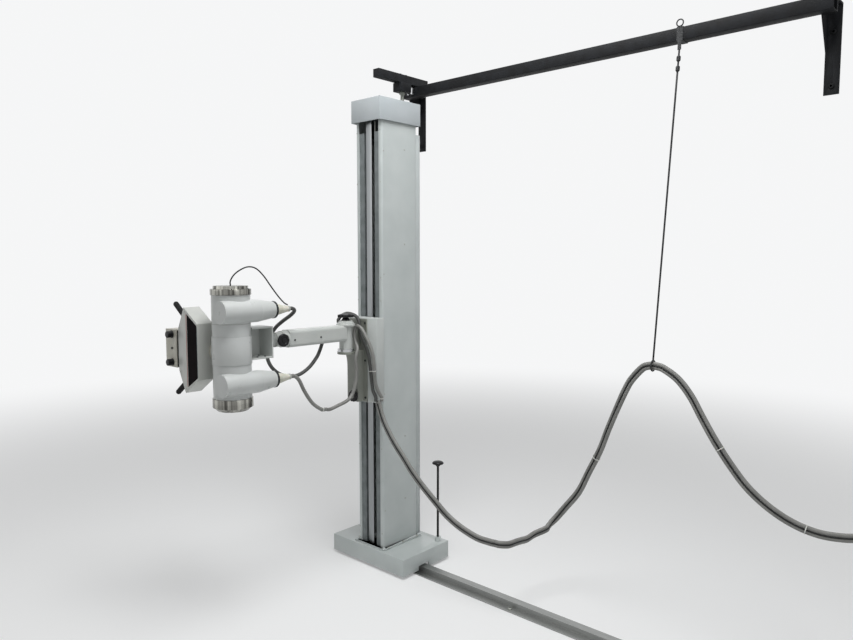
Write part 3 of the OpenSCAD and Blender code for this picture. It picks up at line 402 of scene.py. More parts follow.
def beside(path, sideways, upwards):
    """The same route moved sideways by one distance and upwards by another, seen along the route."""
    out = []
    for i, p in enumerate(path):
        heading = heading_at(path, i)
        side = heading.cross(Vector((0, 0, 1)))
        side = side.normalized() if side.length > 0.15 else Vector((0, -1, 0))
        above = side.cross(heading).normalized()
        out.append(p + side * sideways + above * upwards)
    return out


def finish_mesh(name, bm, material):
    """Turns a bmesh into a smooth object with one material, its faces pointing outwards."""
    bmesh.ops.recalc_face_normals(bm, faces=bm.faces)
    mesh = bpy.data.meshes.new(name)
    bm.to_mesh(mesh)
    bm.free()
    for polygon in mesh.polygons:
        polygon.use_smooth = True
    mesh.materials.append(material)
    piece = bpy.data.objects.new(name, mesh)
    scene.collection.objects.link(piece)
    return piece


def tube(name, path, diameter, material, sides=16):
    """A closed round tube along a path, with a UV map in metres."""
    bm = bmesh.new()
    uv = bm.loops.layers.uv.new("length")
    side = Vector((1, 0, 0))
    rings, run, at = [], [], 0.0
    for i, p in enumerate(path):
        heading = heading_at(path, i)
        side = (side - heading * side.dot(heading)).normalized()
        up = heading.cross(side)
        at += (p - path[i - 1]).length if i else 0.0
        run.append(at)
        rings.append([bm.verts.new(p + (side * math.cos(2 * math.pi * k / sides)
                                        + up * math.sin(2 * math.pi * k / sides)) * diameter / 2)
                      for k in range(sides)])
    wide = math.pi * diameter / sides
    for i in range(len(rings) - 1):
        for k in range(sides):
            face = bm.faces.new([rings[i][k], rings[i][(k + 1) % sides],
                                 rings[i + 1][(k + 1) % sides], rings[i + 1][k]])
            for loop, spot in zip(face.loops, [(k, i), (k + 1, i), (k + 1, i + 1), (k, i + 1)]):
                loop[uv].uv = (spot[0] * wide, run[spot[1]])
    bm.faces.new(list(reversed(rings[0])))
    bm.faces.new(rings[-1])
    return finish_mesh(name, bm, material)


# %% [markdown]
# The lower plug's cable dips under the arm, rises in front of the carriage, makes a small arch by the
# pivot and runs down the carriage's side. The upper plug's cable loops down beside the head, follows
# the arm's far side and passes over the pivot. From the carriage two grey high-tension cables run in a
# deep drape, one above the other, up through the elastic cord's ring and on to their saddle. Each
# route is cut where it crosses a joint, as the frame cuts it.

# %% Routes, repeated from the CAD
LOWER = [(58, -659.7, 1054), (58, -640, 1054), (58, -612, 1032), (59, -582, 976), (68, -545, 918),
         (80, -503, 884), (68.5, -467.7, 877)]
RISER = [(68.4, -467.4, 876.9), (56.9, -432.1, 869.9), (57, -378, 881), (58, -329, 894), (56, -296, 914),
         (54, -274, 949), (53, -262, 996), (54, -260, 1046), (53, -265, 1088), (52, -258, 1116),
         (46, -246, 1138), (28, -238, 1160), (14, -236, 1184), (9, -235, 1210), (12, -231, 1232),
         (26, -228, 1247), (54, -228, 1238), (86, -228, 1202), (121, -226, 1146), (134, -222, 1089),
         (132, -216, 1034), (130, -206, 974), (133, -190, 930), (136, -172, 900), (136, -172, 880.3)]
UPPER = [(58, -659.7, 1356), (58, -642, 1356), (46, -622, 1344), (10, -616, 1322), (-34, -630, 1292),
         (-72, -642, 1260), (-118, -646, 1205), (-134, -648, 1144), (-114, -646, 1090),
         (-64, -638, 1054), (-18, -612, 1040), (0, -568, 1044), (0, -510, 1070), (-2, -462, 1112),
         (-16, -430, 1142), (-34, -404, 1164), (-44, -382, 1190), (-46, -350, 1212), (-50, -318, 1226),
         (-54, -296, 1236), (-58, -276, 1247), (-58, -276, 1262)]
REAR = [(-58, -276, 1262.3), (-58, -276, 1277), (-56, -258, 1295), (-44, -236, 1306), (-22, -224, 1304),
        (0, -214, 1294), (14, -210, 1278), (22, -210, 1256), (25, -210, 1228), (32, -210, 1204),
        (48, -210, 1180), (68, -210, 1148), (86, -210, 1108), (96, -209, 1056), (102, -207, 1000),
        (108, -204, 940), (118, -194, 900), (118, -194, 880.3)]
WIRE = [(0, -915, 1463.2), (0, -915, 1482), (8, -903, 1507), (20, -880, 1528), (30, -848, 1541),
        (38, -814, 1534), (44, -780, 1502), (50, -744, 1452), (55, -710, 1408), (58, -684, 1382),
        (58, -668, 1374)]
DRAPE = [(127, -183, 880), (127, -183, 862), (158, -181, 788), (221, -181, 703), (294, -180, 628),
         (343, -176, 572), (408, -169, 510), (474, -160, 453), (528, -150, 405), (583, -140, 369),
         (641, -129, 342), (700, -119, 324), (761, -110, 320), (783, -106, 320)]
CROSSING = [(783.3, -105.9, 320), (805.3, -101.9, 320), (831, -72, 317), (838, -28, 316), (833, 24, 307),
            (829, 78, 298), (833, 132, 305), (866, 176, 325), (869, 190, 335), (869, 200, 339)]
WALL = [(869, 200.3, 339.1), (869, 215.3, 345.1), (883, 234, 366), (920, 252, 420), (985, 260, 509),
        (1041, 252, 618), (1100, 238, 728), (1150, 222, 844), (1204, 206, 960), (1236, 202, 1028),
        (1262, 200, 1072), (1306, 200, 1122), (1334, 200, 1135), (1352, 200, 1137), (1370, 200, 1136),
        (1400, 200, 1128), (1458, 200, 1092), (1512, 200, 1030), (1560, 200, 950), (1612, 202, 866),
        (1670, 206, 784), (1734, 210, 708), (1812, 216, 646), (1896, 222, 604), (1980, 232, 584),
        (2060, 246, 586), (2120, 260, 598), (2160, 262, 600), (2190, 262, 600)]
CABLE, WIRE_WIDTH = 0.017, 0.006
lower_path, riser_path, upper_path, rear_path = smooth(LOWER), smooth(RISER), smooth(UPPER), smooth(REAR)
wire_path = smooth(WIRE)
for title, path in [("lower", lower_path), ("riser", riser_path), ("upper", upper_path),
                    ("rear", rear_path), ("wire", wire_path)]:
    print(title, "cable is", round(length_of(path), 3), "m long")

# %% [markdown]
# A cable that crosses a joint has to reach both bodies at every pose. Each joint below names its two
# bodies, a start point and an end point: the head's cables cross between the head and the arm, the next
# ones between the arm and the carriage, and the long drape between the carriage, the column and the
# rails. A cable that crosses a joint stays fixed where it lies; one whose joint is a body's name rides on
# it.


def across(piece, joint):
    """Rides a piece on one body where the joint is a body's name, and otherwise bakes its place into its
    mesh.
    """
    if isinstance(joint, str):
        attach(piece, joint)
        return
    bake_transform(piece)


HEAD_LOW = ("tube_head", "arm", (58, -656, 1054), (58, -560, 1054))
HEAD_HIGH = ("tube_head", "arm", (58, -656, 1356), (-34, -626, 1292))
ARM_LOW = ("arm", "carriage", (64, -450, 880), (58, -310, 880))
ARM_HIGH = ("arm", "carriage", (-58, -276, 1266), (-10, -220, 1300))
LIFT = ("carriage", "column", (240, -180, 600), (720, -120, 600))
ROLL = ("column", "rails", (800, 0, 600), (1330, 0, 600))


def declare(piece, joint, nodes):
    """Places the cable by its joint and hides the CAD nodes that it stands for."""
    across(piece, joint)
    if nodes:
        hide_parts(*nodes)


for name, path, wide, skin, joint, node, stiffness in [
        ("lower_tube_cable", lower_path, CABLE, grey_sheath, HEAD_LOW, "cable_lower", "medium"),
        ("riser_tube_cable", riser_path, CABLE, grey_sheath, ARM_LOW, "cable_riser", "medium"),
        ("upper_tube_cable", upper_path, CABLE, dark_sheath, HEAD_HIGH, "cable_upper", "medium"),
        ("pivot_cable", rear_path, CABLE, dark_sheath, ARM_HIGH, "cable_rear", "medium"),
        ("sensor_wire", wire_path, WIRE_WIDTH, black_sheath, "tube_head", "top_wire", "limp")]:
    declare(tube(name, path, wide, skin), joint, [node])

# %% [markdown]
# The bundle is two grey cables, one on top of the other, with a thin black one in the groove on each
# side. All four follow one smooth line, moved by their own places in the bundle. The line is made
# whole first and then cut at the joints, so the lengths meet without a kink.

# %% The bundle of generator cables
HOOK_POINT = 13  # the wall route's point that lies in the hook ring
GREY, GREY_RISE = 0.0166, 0.0084
BLACK, BLACK_SIDE = 0.005, 0.0066
BUNDLED = [(0, GREY_RISE, GREY, grey_sheath), (0, -GREY_RISE, GREY, grey_sheath),
           (BLACK_SIDE, 0, BLACK, black_sheath), (-BLACK_SIDE, 0, BLACK, black_sheath)]
whole = smooth(DRAPE + CROSSING[1:] + WALL[1:])
first_cut = STEPS * (len(DRAPE) - 1)
second_cut = first_cut + STEPS * (len(CROSSING) - 1 + HOOK_POINT)
for number, (side, rise, wide, skin) in enumerate(BUNDLED):
    moved = beside(whole, side, rise)
    for label, low, high, joint, nodes in [
            ("drape", 0, first_cut, LIFT, ["cable_bundle"]),
            ("middle", first_cut, second_cut, ROLL, ["cable_crossing"]),
            ("wall", second_cut, len(whole) - 1, "rails", ["cable_wall_run"])]:
        path = moved[low:high + 1]
        piece = tube(f"generator_{label}_{number + 1}", path, wide, skin, 12)
        declare(piece, joint, nodes if number == 0 else [])
print("bundle is", round(length_of(whole), 3), "m long")

# %% [markdown]
# The cord that lifts the bundle is braided elastic. The frame holds it as a plain rod with its beads
# and ring, so a thin braided sleeve is drawn over the rod, from under the beads to the ring.

# %% The elastic cord's braid
STRAP_EYE, HOOK = Vector((1424, 199, 2384)), Vector((1352, 200, 1158))
BEADS_MM, BRAID = 84, 0.0074
down = (HOOK - STRAP_EYE).normalized()
braid = [(STRAP_EYE + down * BEADS_MM).lerp(HOOK, k / 12) / 1000 for k in range(13)]
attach(tube("elastic_braid", braid, BRAID, braided_elastic), "rails")
print("elastic cord is", round(length_of(braid), 3), "m long")

# %% [markdown]
# ## Soft edges
#
# Real sheet, tube and castings have edges one to three millimetres round, and those edges catch the
# light. A CAD node's mesh may not be changed, so each part with long plain edges gets a copy: its
# loose triangles are merged, flat areas are joined into single faces, and a Bevel modifier rounds
# every edge that turns by more than thirty-five degrees. The copy then stands for the node.


# %% Copies with rounded edges
def softened(node, width_mm, material):
    """Puts a copy of a CAD node with rounded edges in the node's place."""
    source = frame["nodes"][node]
    bm = bmesh.new()
    bm.from_mesh(source.data)
    bmesh.ops.remove_doubles(bm, verts=bm.verts, dist=2e-5)
    bmesh.ops.dissolve_limit(bm, angle_limit=math.radians(0.6), verts=bm.verts, edges=bm.edges)
    mesh = bpy.data.meshes.new(node + "_skin")
    bm.to_mesh(mesh)
    bm.free()
    mesh.materials.append(material)
    piece = bpy.data.objects.new(node + "_skin", mesh)
    scene.collection.objects.link(piece)
    bevel = piece.modifiers.new("edges", "BEVEL")
    bevel.width = width_mm / 1000
    bevel.segments = 2
    bevel.limit_method = "ANGLE"
    bevel.angle_limit = math.radians(35)
    graph = bpy.context.evaluated_depsgraph_get()
    done = bpy.data.meshes.new_from_object(piece.evaluated_get(graph), depsgraph=graph)
    piece.modifiers.clear()
    piece.data = done
    for polygon in done.polygons:
        polygon.use_smooth = True
    done.set_sharp_from_angle(angle=math.radians(32))
    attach(piece, source["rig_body"])
    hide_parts(node)


SOFT_EDGES = [
    ("mast_cap", 1.6, cap_enamel), ("rear_cover", 1.5, rear_enamel), ("base_trolley", 3.0, column_enamel),
    ("mast_foot", 1.2, column_enamel), ("carriage_box", 2.0, carriage_enamel),
    ("pivot_bracket", 2.5, casting_enamel), ("arm_clamp", 1.6, arm_enamel),
    ("pivot_disc", 1.5, arm_enamel), ("yoke_bracket", 1.8, arm_enamel), ("turn_shaft", 1.5, arm_enamel),
    ("tube_band", 0.9, housing_enamel), ("end_rings", 1.6, ring_steel_painted_reflection), ("port_flange", 1.5, housing_enamel),
    ("collimator_body", 2.2, knob_box_enamel), ("collimator_housing", 1.5, collimator_enamel),
    ("wall_rail", 1.5, black_coat), ("wall_brackets", 1.0, black_coat),
    ("guide_bar_top", 1.5, black_coat), ("guide_plate", 1.0, casting_enamel),
    ("counterweight", 3.0, weight_iron), ("cable_saddle", 2.0, black_coat),
    ("front_strip", 0.8, strip_metal), ("brake_rod", 1.5, phenolic),
]
for node, width, material in SOFT_EDGES:
    softened(node, width, material)
print("soft-edged parts:", len(SOFT_EDGES))

# %% [markdown]
# The parts that keep their CAD mesh, with the normals that it came with, still get a finish of their
# own. It goes into the material slots that their objects already have.

# %% Finishes for the carried-over nodes
PLAIN = {
    "floor_rail": rail_steel, "mast": column_enamel, "guide_bars": bar_enamel, "sheave_axle": shaft_steel,
    "base_wheel_left": rail_steel, "base_wheel_right": rail_steel, "guide_roller_front": shaft_steel,
    # The carriage's inner part is dark with painted shade for its recess.
    "guide_roller_rear": shaft_steel, "sheaves": weight_iron, "carriage_inner": recess_shade_coat,
    "pivot_pin": shaft_steel, "carriage_rollers_upper": shaft_steel,
    "carriage_rollers_lower": shaft_steel, "arm_tube": arm_enamel, "tube_housing": housing_enamel,
    "tube_insert": insert_glass, "collimator_window": dark_glass, "collimator_gasket": black_rubber,
    "collimator_grips": black_rubber, "lamp_button": phenolic, "rail_strap": webbing,
}
for node, material in PLAIN.items():
    for item in frame["nodes"][node].material_slots:
        item.material = material
print("plain nodes:", len(PLAIN))

# %% [markdown]
# The lifting ropes run over the sheaves, so the length that hangs changes as the carriage climbs. Each
# pair is a copy of its solids with the wire rope finish, fixed where it lies in the world.

# %% Rope copies with a wire rope finish
for node, load in (("rope_front", "carriage"), ("rope_rear", "weight")):
    strands = frame["nodes"][node].data.copy()
    strands.materials.clear()
    strands.materials.append(wire_rope)
    ropes = bpy.data.objects.new(node + "_strands", strands)
    scene.collection.objects.link(ropes)
    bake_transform(ropes)
    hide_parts(node)

# %% [markdown]
# ## Turned and lobed parts
#
# Knobs, boots and rings are all a profile spun round an axis. One helper spins a list of radius and
# height pairs, and an optional rule lets the radius swell and shrink round the turn, which is how a
# fluted or five-lobed knob is made from the same few numbers.


# %% Spun shapes
def spun(name, profile, origin, axis, material, sides=64, lobes=0, depth=0.0, from_radius=0.0):
    """A profile of (radius, height) in millimetres spun round an axis, with lobes where it is wide."""
    turn = Vector(axis).to_track_quat("Z", "Y").to_matrix().to_4x4()
    place = Matrix.Translation(Vector(origin) / 1000) @ turn
    bm = bmesh.new()
    rings = []
    for radius, height in profile:
        if radius < 1e-6:
            rings.append([bm.verts.new(place @ Vector((0, 0, height / 1000)))])
            continue
        share = max(0.0, radius - from_radius) / radius
        ring = []
        for k in range(sides):
            angle = 2 * math.pi * k / sides
            wide = radius - depth * share * (1 - math.cos(lobes * angle))
            ring.append(bm.verts.new(place @ Vector((wide * math.cos(angle) / 1000,
                                                     wide * math.sin(angle) / 1000, height / 1000))))
        rings.append(ring)
    for low, high in zip(rings, rings[1:]):
        for k in range(sides):
            corners = [low[k % len(low)], low[(k + 1) % len(low)],
                       high[(k + 1) % len(high)], high[k % len(high)]]
            unique = list(dict.fromkeys(corners))
            if len(unique) > 2:
                bm.faces.new(unique)
    piece = finish_mesh(name, bm, material)
    piece.data.set_sharp_from_angle(angle=math.radians(40))
    return piece


def rounded(profile, radius, steps=3):
    """Rounds the corners of a profile by a radius in millimetres, or by less on a short side."""
    out = [profile[0]]
    for a, b, c in zip(profile, profile[1:], profile[2:]):
        a, b, c = Vector(a), Vector(b), Vector(c)
        cut = min(radius, (b - a).length * 0.45, (c - b).length * 0.45)
        if cut < 0.05:
            out.append(tuple(b))
            continue
        p, q = b + (a - b).normalized() * cut, b + (c - b).normalized() * cut
        for k in range(steps + 1):
            t = k / steps
            out.append(tuple(p * (1 - t) ** 2 + b * 2 * t * (1 - t) + q * t * t))
    return out + [profile[-1]]


# %% [markdown]
# The star knob stands over the pivot: a turned foot under a head with five deep lobes for the fingers.
# The two clamping knobs are drums with shallow flutes. Each has a dished middle with a disc in it, and
# a zinc stud behind it that reaches the part it clamps.

# %% The star knob and the two fluted hand knobs
UP, BACK, FRONT, RIGHT = (0, 0, 1), (0, 1, 0), (0, -1, 0), (1, 0, 0)
STAR_SEAT, HEIGHT_LOCK_SEAT, TURN_LOCK_SEAT = (0, -280, 1276.3), (25, -242, 904), (37.3, -686, 1217)
STAR_PROFILE = [(0, 0), (23.8, 0), (23.8, 1), (13, 14), (20, 15), (41.5, 17), (41.5, 29), (20, 32.6),
                (0, 32.6)]
DISH_MM, STUD_RADIUS = 3, 4.9
star = spun("star_knob", rounded(STAR_PROFILE, 3), STAR_SEAT, UP, phenolic, lobes=5, depth=15,
            from_radius=22)
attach(star, "swivel_lock")
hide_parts("swivel_knob")


def hand_knob(name, node, body, origin, axis, radius, height, stud, flutes, flute_depth, centre):
    """A fluted clamping knob with a disc in its middle and a stud behind, its sizes in millimetres."""
    dish = height - DISH_MM
    drum = rounded([(0, 0), (radius * 0.55, 0), (radius * 0.8, height * 0.2),
                    (radius - 0.4, height * 0.35), (radius - 0.4, height * 0.85),
                    (radius - 4, height - 0.4), (radius * 0.55, height - 0.4),
                    (radius * 0.5, dish), (0, dish)], 2)
    knob = spun(name, drum, origin, axis, phenolic, sides=96, lobes=flutes, depth=flute_depth,
                from_radius=radius * 0.6)
    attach(knob, body)
    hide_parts(node)
    disc = rounded([(0, -1), (radius * 0.42, -1), (radius * 0.42, 1.4), (0, 1.8)], 0.6)
    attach(spun(name + "_centre", disc, Vector(origin) + Vector(axis) * dish, axis, centre, 40), body)
    shank = [(0, -stud), (STUD_RADIUS, -stud), (STUD_RADIUS, 0.5), (0, 0.5)]
    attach(spun(name + "_stud", shank, origin, axis, zinc, 24), body)


hand_knob("height_lock_knob", "carriage_knob", "height_lock", HEIGHT_LOCK_SEAT, FRONT, radius=29,
          height=26, stud=11.5, flutes=10, flute_depth=3.2, centre=casting_enamel)
hand_knob("turn_lock_knob", "tube_lock_knob", "turn_lock", TURN_LOCK_SEAT, RIGHT, radius=30,
          height=20, stud=8.8, flutes=8, flute_depth=1.6, centre=phenolic)
print("star knob at", STAR_SEAT, "mm")

# %% [markdown]
# The cable plugs end in soft cream boots with moulded ribs, held by a dark clamping ring at the
# receptacle and a bright gland ring at the tip. The two field knobs on the collimator are small
# knurled drums. The seam where the halves of the housing meet is a thin band round it.

# %% Plug boots, field knobs and the housing's seam
PLUG_X, RECEPTACLE_Y, HEAD_Y, SEAM_Z = 58, -750, -915, 1305
COLLIMATOR_Z, FIELD_KNOB_X, FIELD_KNOB_Y, FIELD_KNOB_RISE = 1180, -335, -1005.3, 62
RIBS, RIB_PITCH, RIB_TAPER = 6, 9.5, 2.05
CLAMP_PROFILE = rounded([(0, 0.2), (37.8, 0.2), (37.8, 9.8), (25, 9.8), (0, 9.8)], 1.2)
GLAND_PROFILE = rounded([(8.6, 80.5), (13, 80.5), (13, 89.7), (8.6, 89.7), (8.6, 80.5)], 0.8)
DRUM_PROFILE = rounded([(0, 0), (16.8, 0), (16.8, 3), (14.8, 3.4), (14.8, 24), (12.6, 25.8), (0, 25.8)], 0.8)
boot_profile = [(0, 9.5), (26, 9.5), (26, 19)]
for rib in range(RIBS):
    at, wide = 22 + rib * RIB_PITCH, 24.6 - rib * RIB_TAPER
    boot_profile += [(wide, at), (wide, at + 5), (wide - 2.2, at + 6), (wide - 2.2, at + 9)]
boot_profile = rounded(boot_profile + [(12.6, 82), (0, 82)], 0.9)
for label, height in (("lower", 1054), ("upper", 1356)):
    mouth = (PLUG_X, RECEPTACLE_Y, height)
    ring = spun(f"{label}_clamp_ring", CLAMP_PROFILE, mouth, BACK, dark_screw, lobes=24, depth=1.2,
                from_radius=26)
    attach(ring, "tube_head")
    boot = spun(f"{label}_boot", boot_profile, mouth, BACK, boot_vinyl, 48)
    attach(boot, "tube_head")
    if label == "lower":
        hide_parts("cable_plugs")
    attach(spun(f"{label}_gland", GLAND_PROFILE, mouth, BACK, zinc, 40), "tube_head")
for label, rise in (("upper", FIELD_KNOB_RISE), ("lower", -FIELD_KNOB_RISE)):
    drum = spun(f"field_knob_{label}", DRUM_PROFILE, (FIELD_KNOB_X, FIELD_KNOB_Y, COLLIMATOR_Z + rise),
                FRONT, phenolic, 72, lobes=24, depth=0.9, from_radius=12)
    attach(drum, f"field_knob_{label}")
    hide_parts(f"collimator_knob_{label}")
seam = spun("housing_seam", [(79.5, -0.7), (80.25, -0.7), (80.25, 0.7), (79.5, 0.7), (79.5, -0.7)],
            (0, HEAD_Y, SEAM_Z), UP, casting_enamel, 96)
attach(seam, "tube_head")
print("each boot has", RIBS, "ribs")

# %% [markdown]
# ## Screws
#
# Screws repeat all over the machine, so one Geometry Nodes tree makes them: it puts a low domed
# head with a hexagon socket at every point of a small guide mesh and turns it to the point's own
# direction. The head's size is a named input, and Realize Instances makes real faces at the end.


# %% The screw tree
def screw_tree():
    """A node tree that puts a screw head at every point of a mesh, facing as the point says."""
    tree = bpy.data.node_groups.new("screws_at_points", "GeometryNodeTree")
    face = tree.interface
    face.new_socket("Geometry", in_out="INPUT", socket_type="NodeSocketGeometry")
    sizes = {"Head radius": 0.005, "Head height": 0.003, "Socket radius": 0.0026}
    for name, value in sizes.items():
        face.new_socket(name, in_out="INPUT", socket_type="NodeSocketFloat").default_value = value
    face.new_socket("Finish", in_out="INPUT", socket_type="NodeSocketMaterial")
    face.new_socket("Geometry", in_out="OUTPUT", socket_type="NodeSocketGeometry")
    start = add(tree, "NodeGroupInput")
    radius, height, socket = [start.outputs[name] for name in sizes]

    # The head is a straight collar with a tapered crown on it, and a six-sided hole cut into the crown.
    narrow, collar_part, crown_part = [
        add(tree, "ShaderNodeMath", {0: size}, {1: share}, operation="MULTIPLY").outputs[0]
        for size, share in ((radius, 0.82), (height, 0.7), (height, 0.3))]
    collar, crown, hole = [
        add(tree, "GeometryNodeMeshCone", {"Radius Bottom": wide, "Radius Top": top, "Depth": deep},
            {"Vertices": corners}).outputs["Mesh"]
        for wide, top, deep, corners in ((radius, radius, collar_part, 20), (radius, narrow, crown_part, 20),
                                         (socket, socket, height, 6))]
    lift = add(tree, "ShaderNodeCombineXYZ", {"Z": collar_part}).outputs[0]
    raised, sunk = [add(tree, "GeometryNodeTransform", {"Geometry": part, "Translation": lift})
                    for part in (crown, hole)]
    cut = add(tree, "GeometryNodeMeshBoolean",
              {"Mesh 1": raised.outputs["Geometry"], "Mesh 2": sunk.outputs["Geometry"]},
              operation="DIFFERENCE")
    head = add(tree, "GeometryNodeJoinGeometry", {"Geometry": collar})
    tree.links.new(cut.outputs["Mesh"], head.inputs["Geometry"])

    # One head goes to each point, turned by the point's own direction.
    facing = add(tree, "GeometryNodeInputNamedAttribute", values={"Name": "facing"},
                 data_type="FLOAT_VECTOR")
    aim = add(tree, "FunctionNodeAlignRotationToVector", {"Vector": facing.outputs["Attribute"]}, axis="Z")
    points = add(tree, "GeometryNodeMeshToPoints", {"Mesh": start.outputs["Geometry"]})
    placed = add(tree, "GeometryNodeInstanceOnPoints",
                 {"Points": points.outputs["Points"], "Instance": head.outputs["Geometry"],
                  "Rotation": aim.outputs["Rotation"]})
    real = add(tree, "GeometryNodeRealizeInstances", {"Geometry": placed.outputs["Instances"]})
    paint = add(tree, "GeometryNodeSetMaterial",
                {"Geometry": real.outputs["Geometry"], "Material": start.outputs["Finish"]})
    add(tree, "NodeGroupOutput", {"Geometry": paint.outputs["Geometry"]})
    return tree


SCREW_TREE = screw_tree()


def screws(name, body, facing, places, radius_mm, height_mm, material):
    """Screws at places in millimetres, all facing one way, as one plain mesh that rides on a body."""
    guide = bpy.data.meshes.new(name + "_guide")
    guide.from_pydata([Vector(p) / 1000 for p in places], [], [])
    layer = guide.attributes.new("facing", "FLOAT_VECTOR", "POINT")
    for i in range(len(places)):
        layer.data[i].vector = facing
    carrier = bpy.data.objects.new(name, guide)
    scene.collection.objects.link(carrier)
    modifier = carrier.modifiers.new("screws", "NODES")
    modifier.node_group = SCREW_TREE
    sockets = {s.name: s.identifier for s in SCREW_TREE.interface.items_tree if s.in_out == "INPUT"}
    modifier[sockets["Head radius"]] = radius_mm / 1000
    modifier[sockets["Head height"]] = height_mm / 1000
    modifier[sockets["Socket radius"]] = radius_mm * 0.5 / 1000
    modifier[sockets["Finish"]] = material
    graph = bpy.context.evaluated_depsgraph_get()
    mesh = bpy.data.meshes.new_from_object(carrier.evaluated_get(graph), depsgraph=graph)
    carrier.modifiers.clear()
    carrier.data = mesh
    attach(carrier, body)
    return len(places)


# %% [markdown]
# The screws sit where the photograph shows them and, on the far sides, where such sheet covers are
# fixed. Each row of the table names a group, the body it rides on, the way it faces, its places in
# millimetres, and the radius, height and finish of its heads.


# %% Screws where the machine shows them
def six_round_head(radius, height):
    """Six places on a circle round the tube housing's axis."""
    return [(radius * math.cos(a), HEAD_Y + radius * math.sin(a), height)
            for a in [math.radians(30 + 60 * k) for k in range(6)]]


LEFT, DOWN = (-1, 0, 0), (0, 0, -1)
COLUMN_SIDE, COLUMN_LIP, COLUMN_BACK, SIDE_ROW = 92, -120, 160, (330, 660, 1650, 2120)
ARM_SIDE, ARM_SCREWS = 33, ((-611, 1211), (-461, 1212))
SCREW_GROUPS = [
    ("carriage_flange_screws", "carriage", FRONT,
     [(x, -200, z) for x in (-52, 52) for z in (891, 1076, 1261)], 5.5, 4, dark_screw),
    ("column_side_screws", "column", RIGHT,
     [(COLUMN_SIDE, 39, z) for z in SIDE_ROW] + [(COLUMN_SIDE, -108, z) for z in (300, 900, 1500, 2100)],
     3.6, 2, zinc),
    ("column_left_side_screws", "column", LEFT, [(-COLUMN_SIDE, 39, z) for z in SIDE_ROW], 3.6, 2, zinc),
    ("column_lip_screws", "column", FRONT,
     [(x, COLUMN_LIP, z) for x in (-82, 82) for z in (180, 620, 1368, 1483, 1950, 2200)], 3.2, 1.8, zinc),
    ("rear_cover_screws", "column", BACK,
     [(x, COLUMN_BACK, z) for x in (-62, 62) for z in (200, 760, 1320, 1880, 2180)], 3.6, 2, zinc),
    ("arm_screws_right", "arm", RIGHT, [(ARM_SIDE, y, z) for y, z in ARM_SCREWS], 4.2, 2.4, dark_screw),
    ("arm_screws_left", "arm", LEFT, [(-ARM_SIDE, y, z) for y, z in ARM_SCREWS], 4.2, 2.4, dark_screw),
    ("foot_screws", "column", UP, [(x, y, 108) for x in (-108, 108) for y in (-100, 5, 110)], 6, 5, zinc),
    ("ring_screws", "tube_head", UP, six_round_head(78, 1450), 3.4, 2.4, dark_screw),
    ("low_ring_screws", "tube_head", DOWN, six_round_head(50, 936), 3, 2.2, dark_screw),
    ("yoke_screws", "tube_head", UP,
     [(x, y, 1152) for x in (-22, 26) for y in (-806, -768)], 4.6, 3, dark_screw),
    ("housing_front_screws", "collimator", FRONT,
     [(x, -1010, COLLIMATOR_Z + s * z) for s in (-1, 1) for x, z in ((-212, 168), (-258, 96))],
     3, 1.6, zinc),
    ("knob_box_screws", "collimator", FRONT,
     [(x, -1005, COLLIMATOR_Z + s * 74) for s in (-1, 1) for x in (-306, -380)], 2.8, 1.5, zinc),
    ("guide_screws", "column", UP, [(x, y, 2363) for x in (-26, 26) for y in (56, 176)], 5, 4, dark_screw),
    ("bracket_bolts", "rails", FRONT,
     [(x, 324, z) for x in (-50, 1930) for z in (2187, 2375)], 9, 6, black_coat),
    ("floor_bolts", "rails", UP, [(x, y, 6) for x in (-240, 820, 1880) for y in (-40, 40)], 9, 6, zinc),
]
print("screws:", sum(screws(*group) for group in SCREW_GROUPS))

# %% [markdown]
# ## Ties and small trim
#
# White nylon ties hold the cables together. A tie is drawn as a flat band, spun round the cable's own
# direction at a share of its length, and it is placed by the same joint as the cable, riding on the body
# where that joint is a body's name.


# %% Cable ties
def band_tie(name, path, share, diameter, joint):
    """A flat band round a cable at a share of its length."""
    spot = round(share * (len(path) - 1))
    r = diameter * 500
    band = rounded([(r, -1.8), (r + 1.1, -1.8), (r + 1.1, 1.8), (r, 1.8), (r, -1.8)], 0.4)
    across(spun(name, band, path[spot] * 1000, heading_at(path, spot), white_nylon, 28), joint)


ONE_CABLE, WHOLE_BUNDLE = 0.0172, 0.034
middle_path, wall_path = whole[first_cut:second_cut + 1], whole[second_cut:]
TIES = [
    ("tie_arm", lower_path, 0.85, ONE_CABLE, HEAD_LOW),
    ("tie_riser", riser_path, 0.833, ONE_CABLE, ARM_LOW),
    ("tie_riser_end", riser_path, 0.97, ONE_CABLE, ARM_LOW),
    ("tie_pivot", rear_path, 0.794, ONE_CABLE, ARM_HIGH),
    ("tie_middle", middle_path, 0.67, WHOLE_BUNDLE, ROLL),
    ("tie_wall_a", wall_path, 0.425, WHOLE_BUNDLE, "rails"),
    ("tie_wall_b", wall_path, 0.7, WHOLE_BUNDLE, "rails"),
]
for tie in TIES:
    band_tie(*tie)
print("ties:", len(TIES))

# %% [markdown]
# The collimator's window has a thin red line down its far edge and a dark teal seal down its near one.
# Both are slim bars that stand a little proud of the front.


# %% Bars and lines
def bar(name, low, high, material, body, round_mm):
    """A small block with rounded edges, given by its corners in millimetres."""
    bm = bmesh.new()
    bmesh.ops.create_cube(bm, size=1)
    low, high = Vector(low) / 1000, Vector(high) / 1000
    for vertex in bm.verts:
        vertex.co = Vector([low[i] + (high[i] - low[i]) * (vertex.co[i] + 0.5) for i in range(3)])
    bmesh.ops.bevel(bm, geom=bm.edges[:], offset=round_mm / 1000, segments=2, affect="EDGES", profile=0.5)
    piece = finish_mesh(name, bm, material)
    piece.data.set_sharp_from_angle(angle=math.radians(50))
    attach(piece, body)


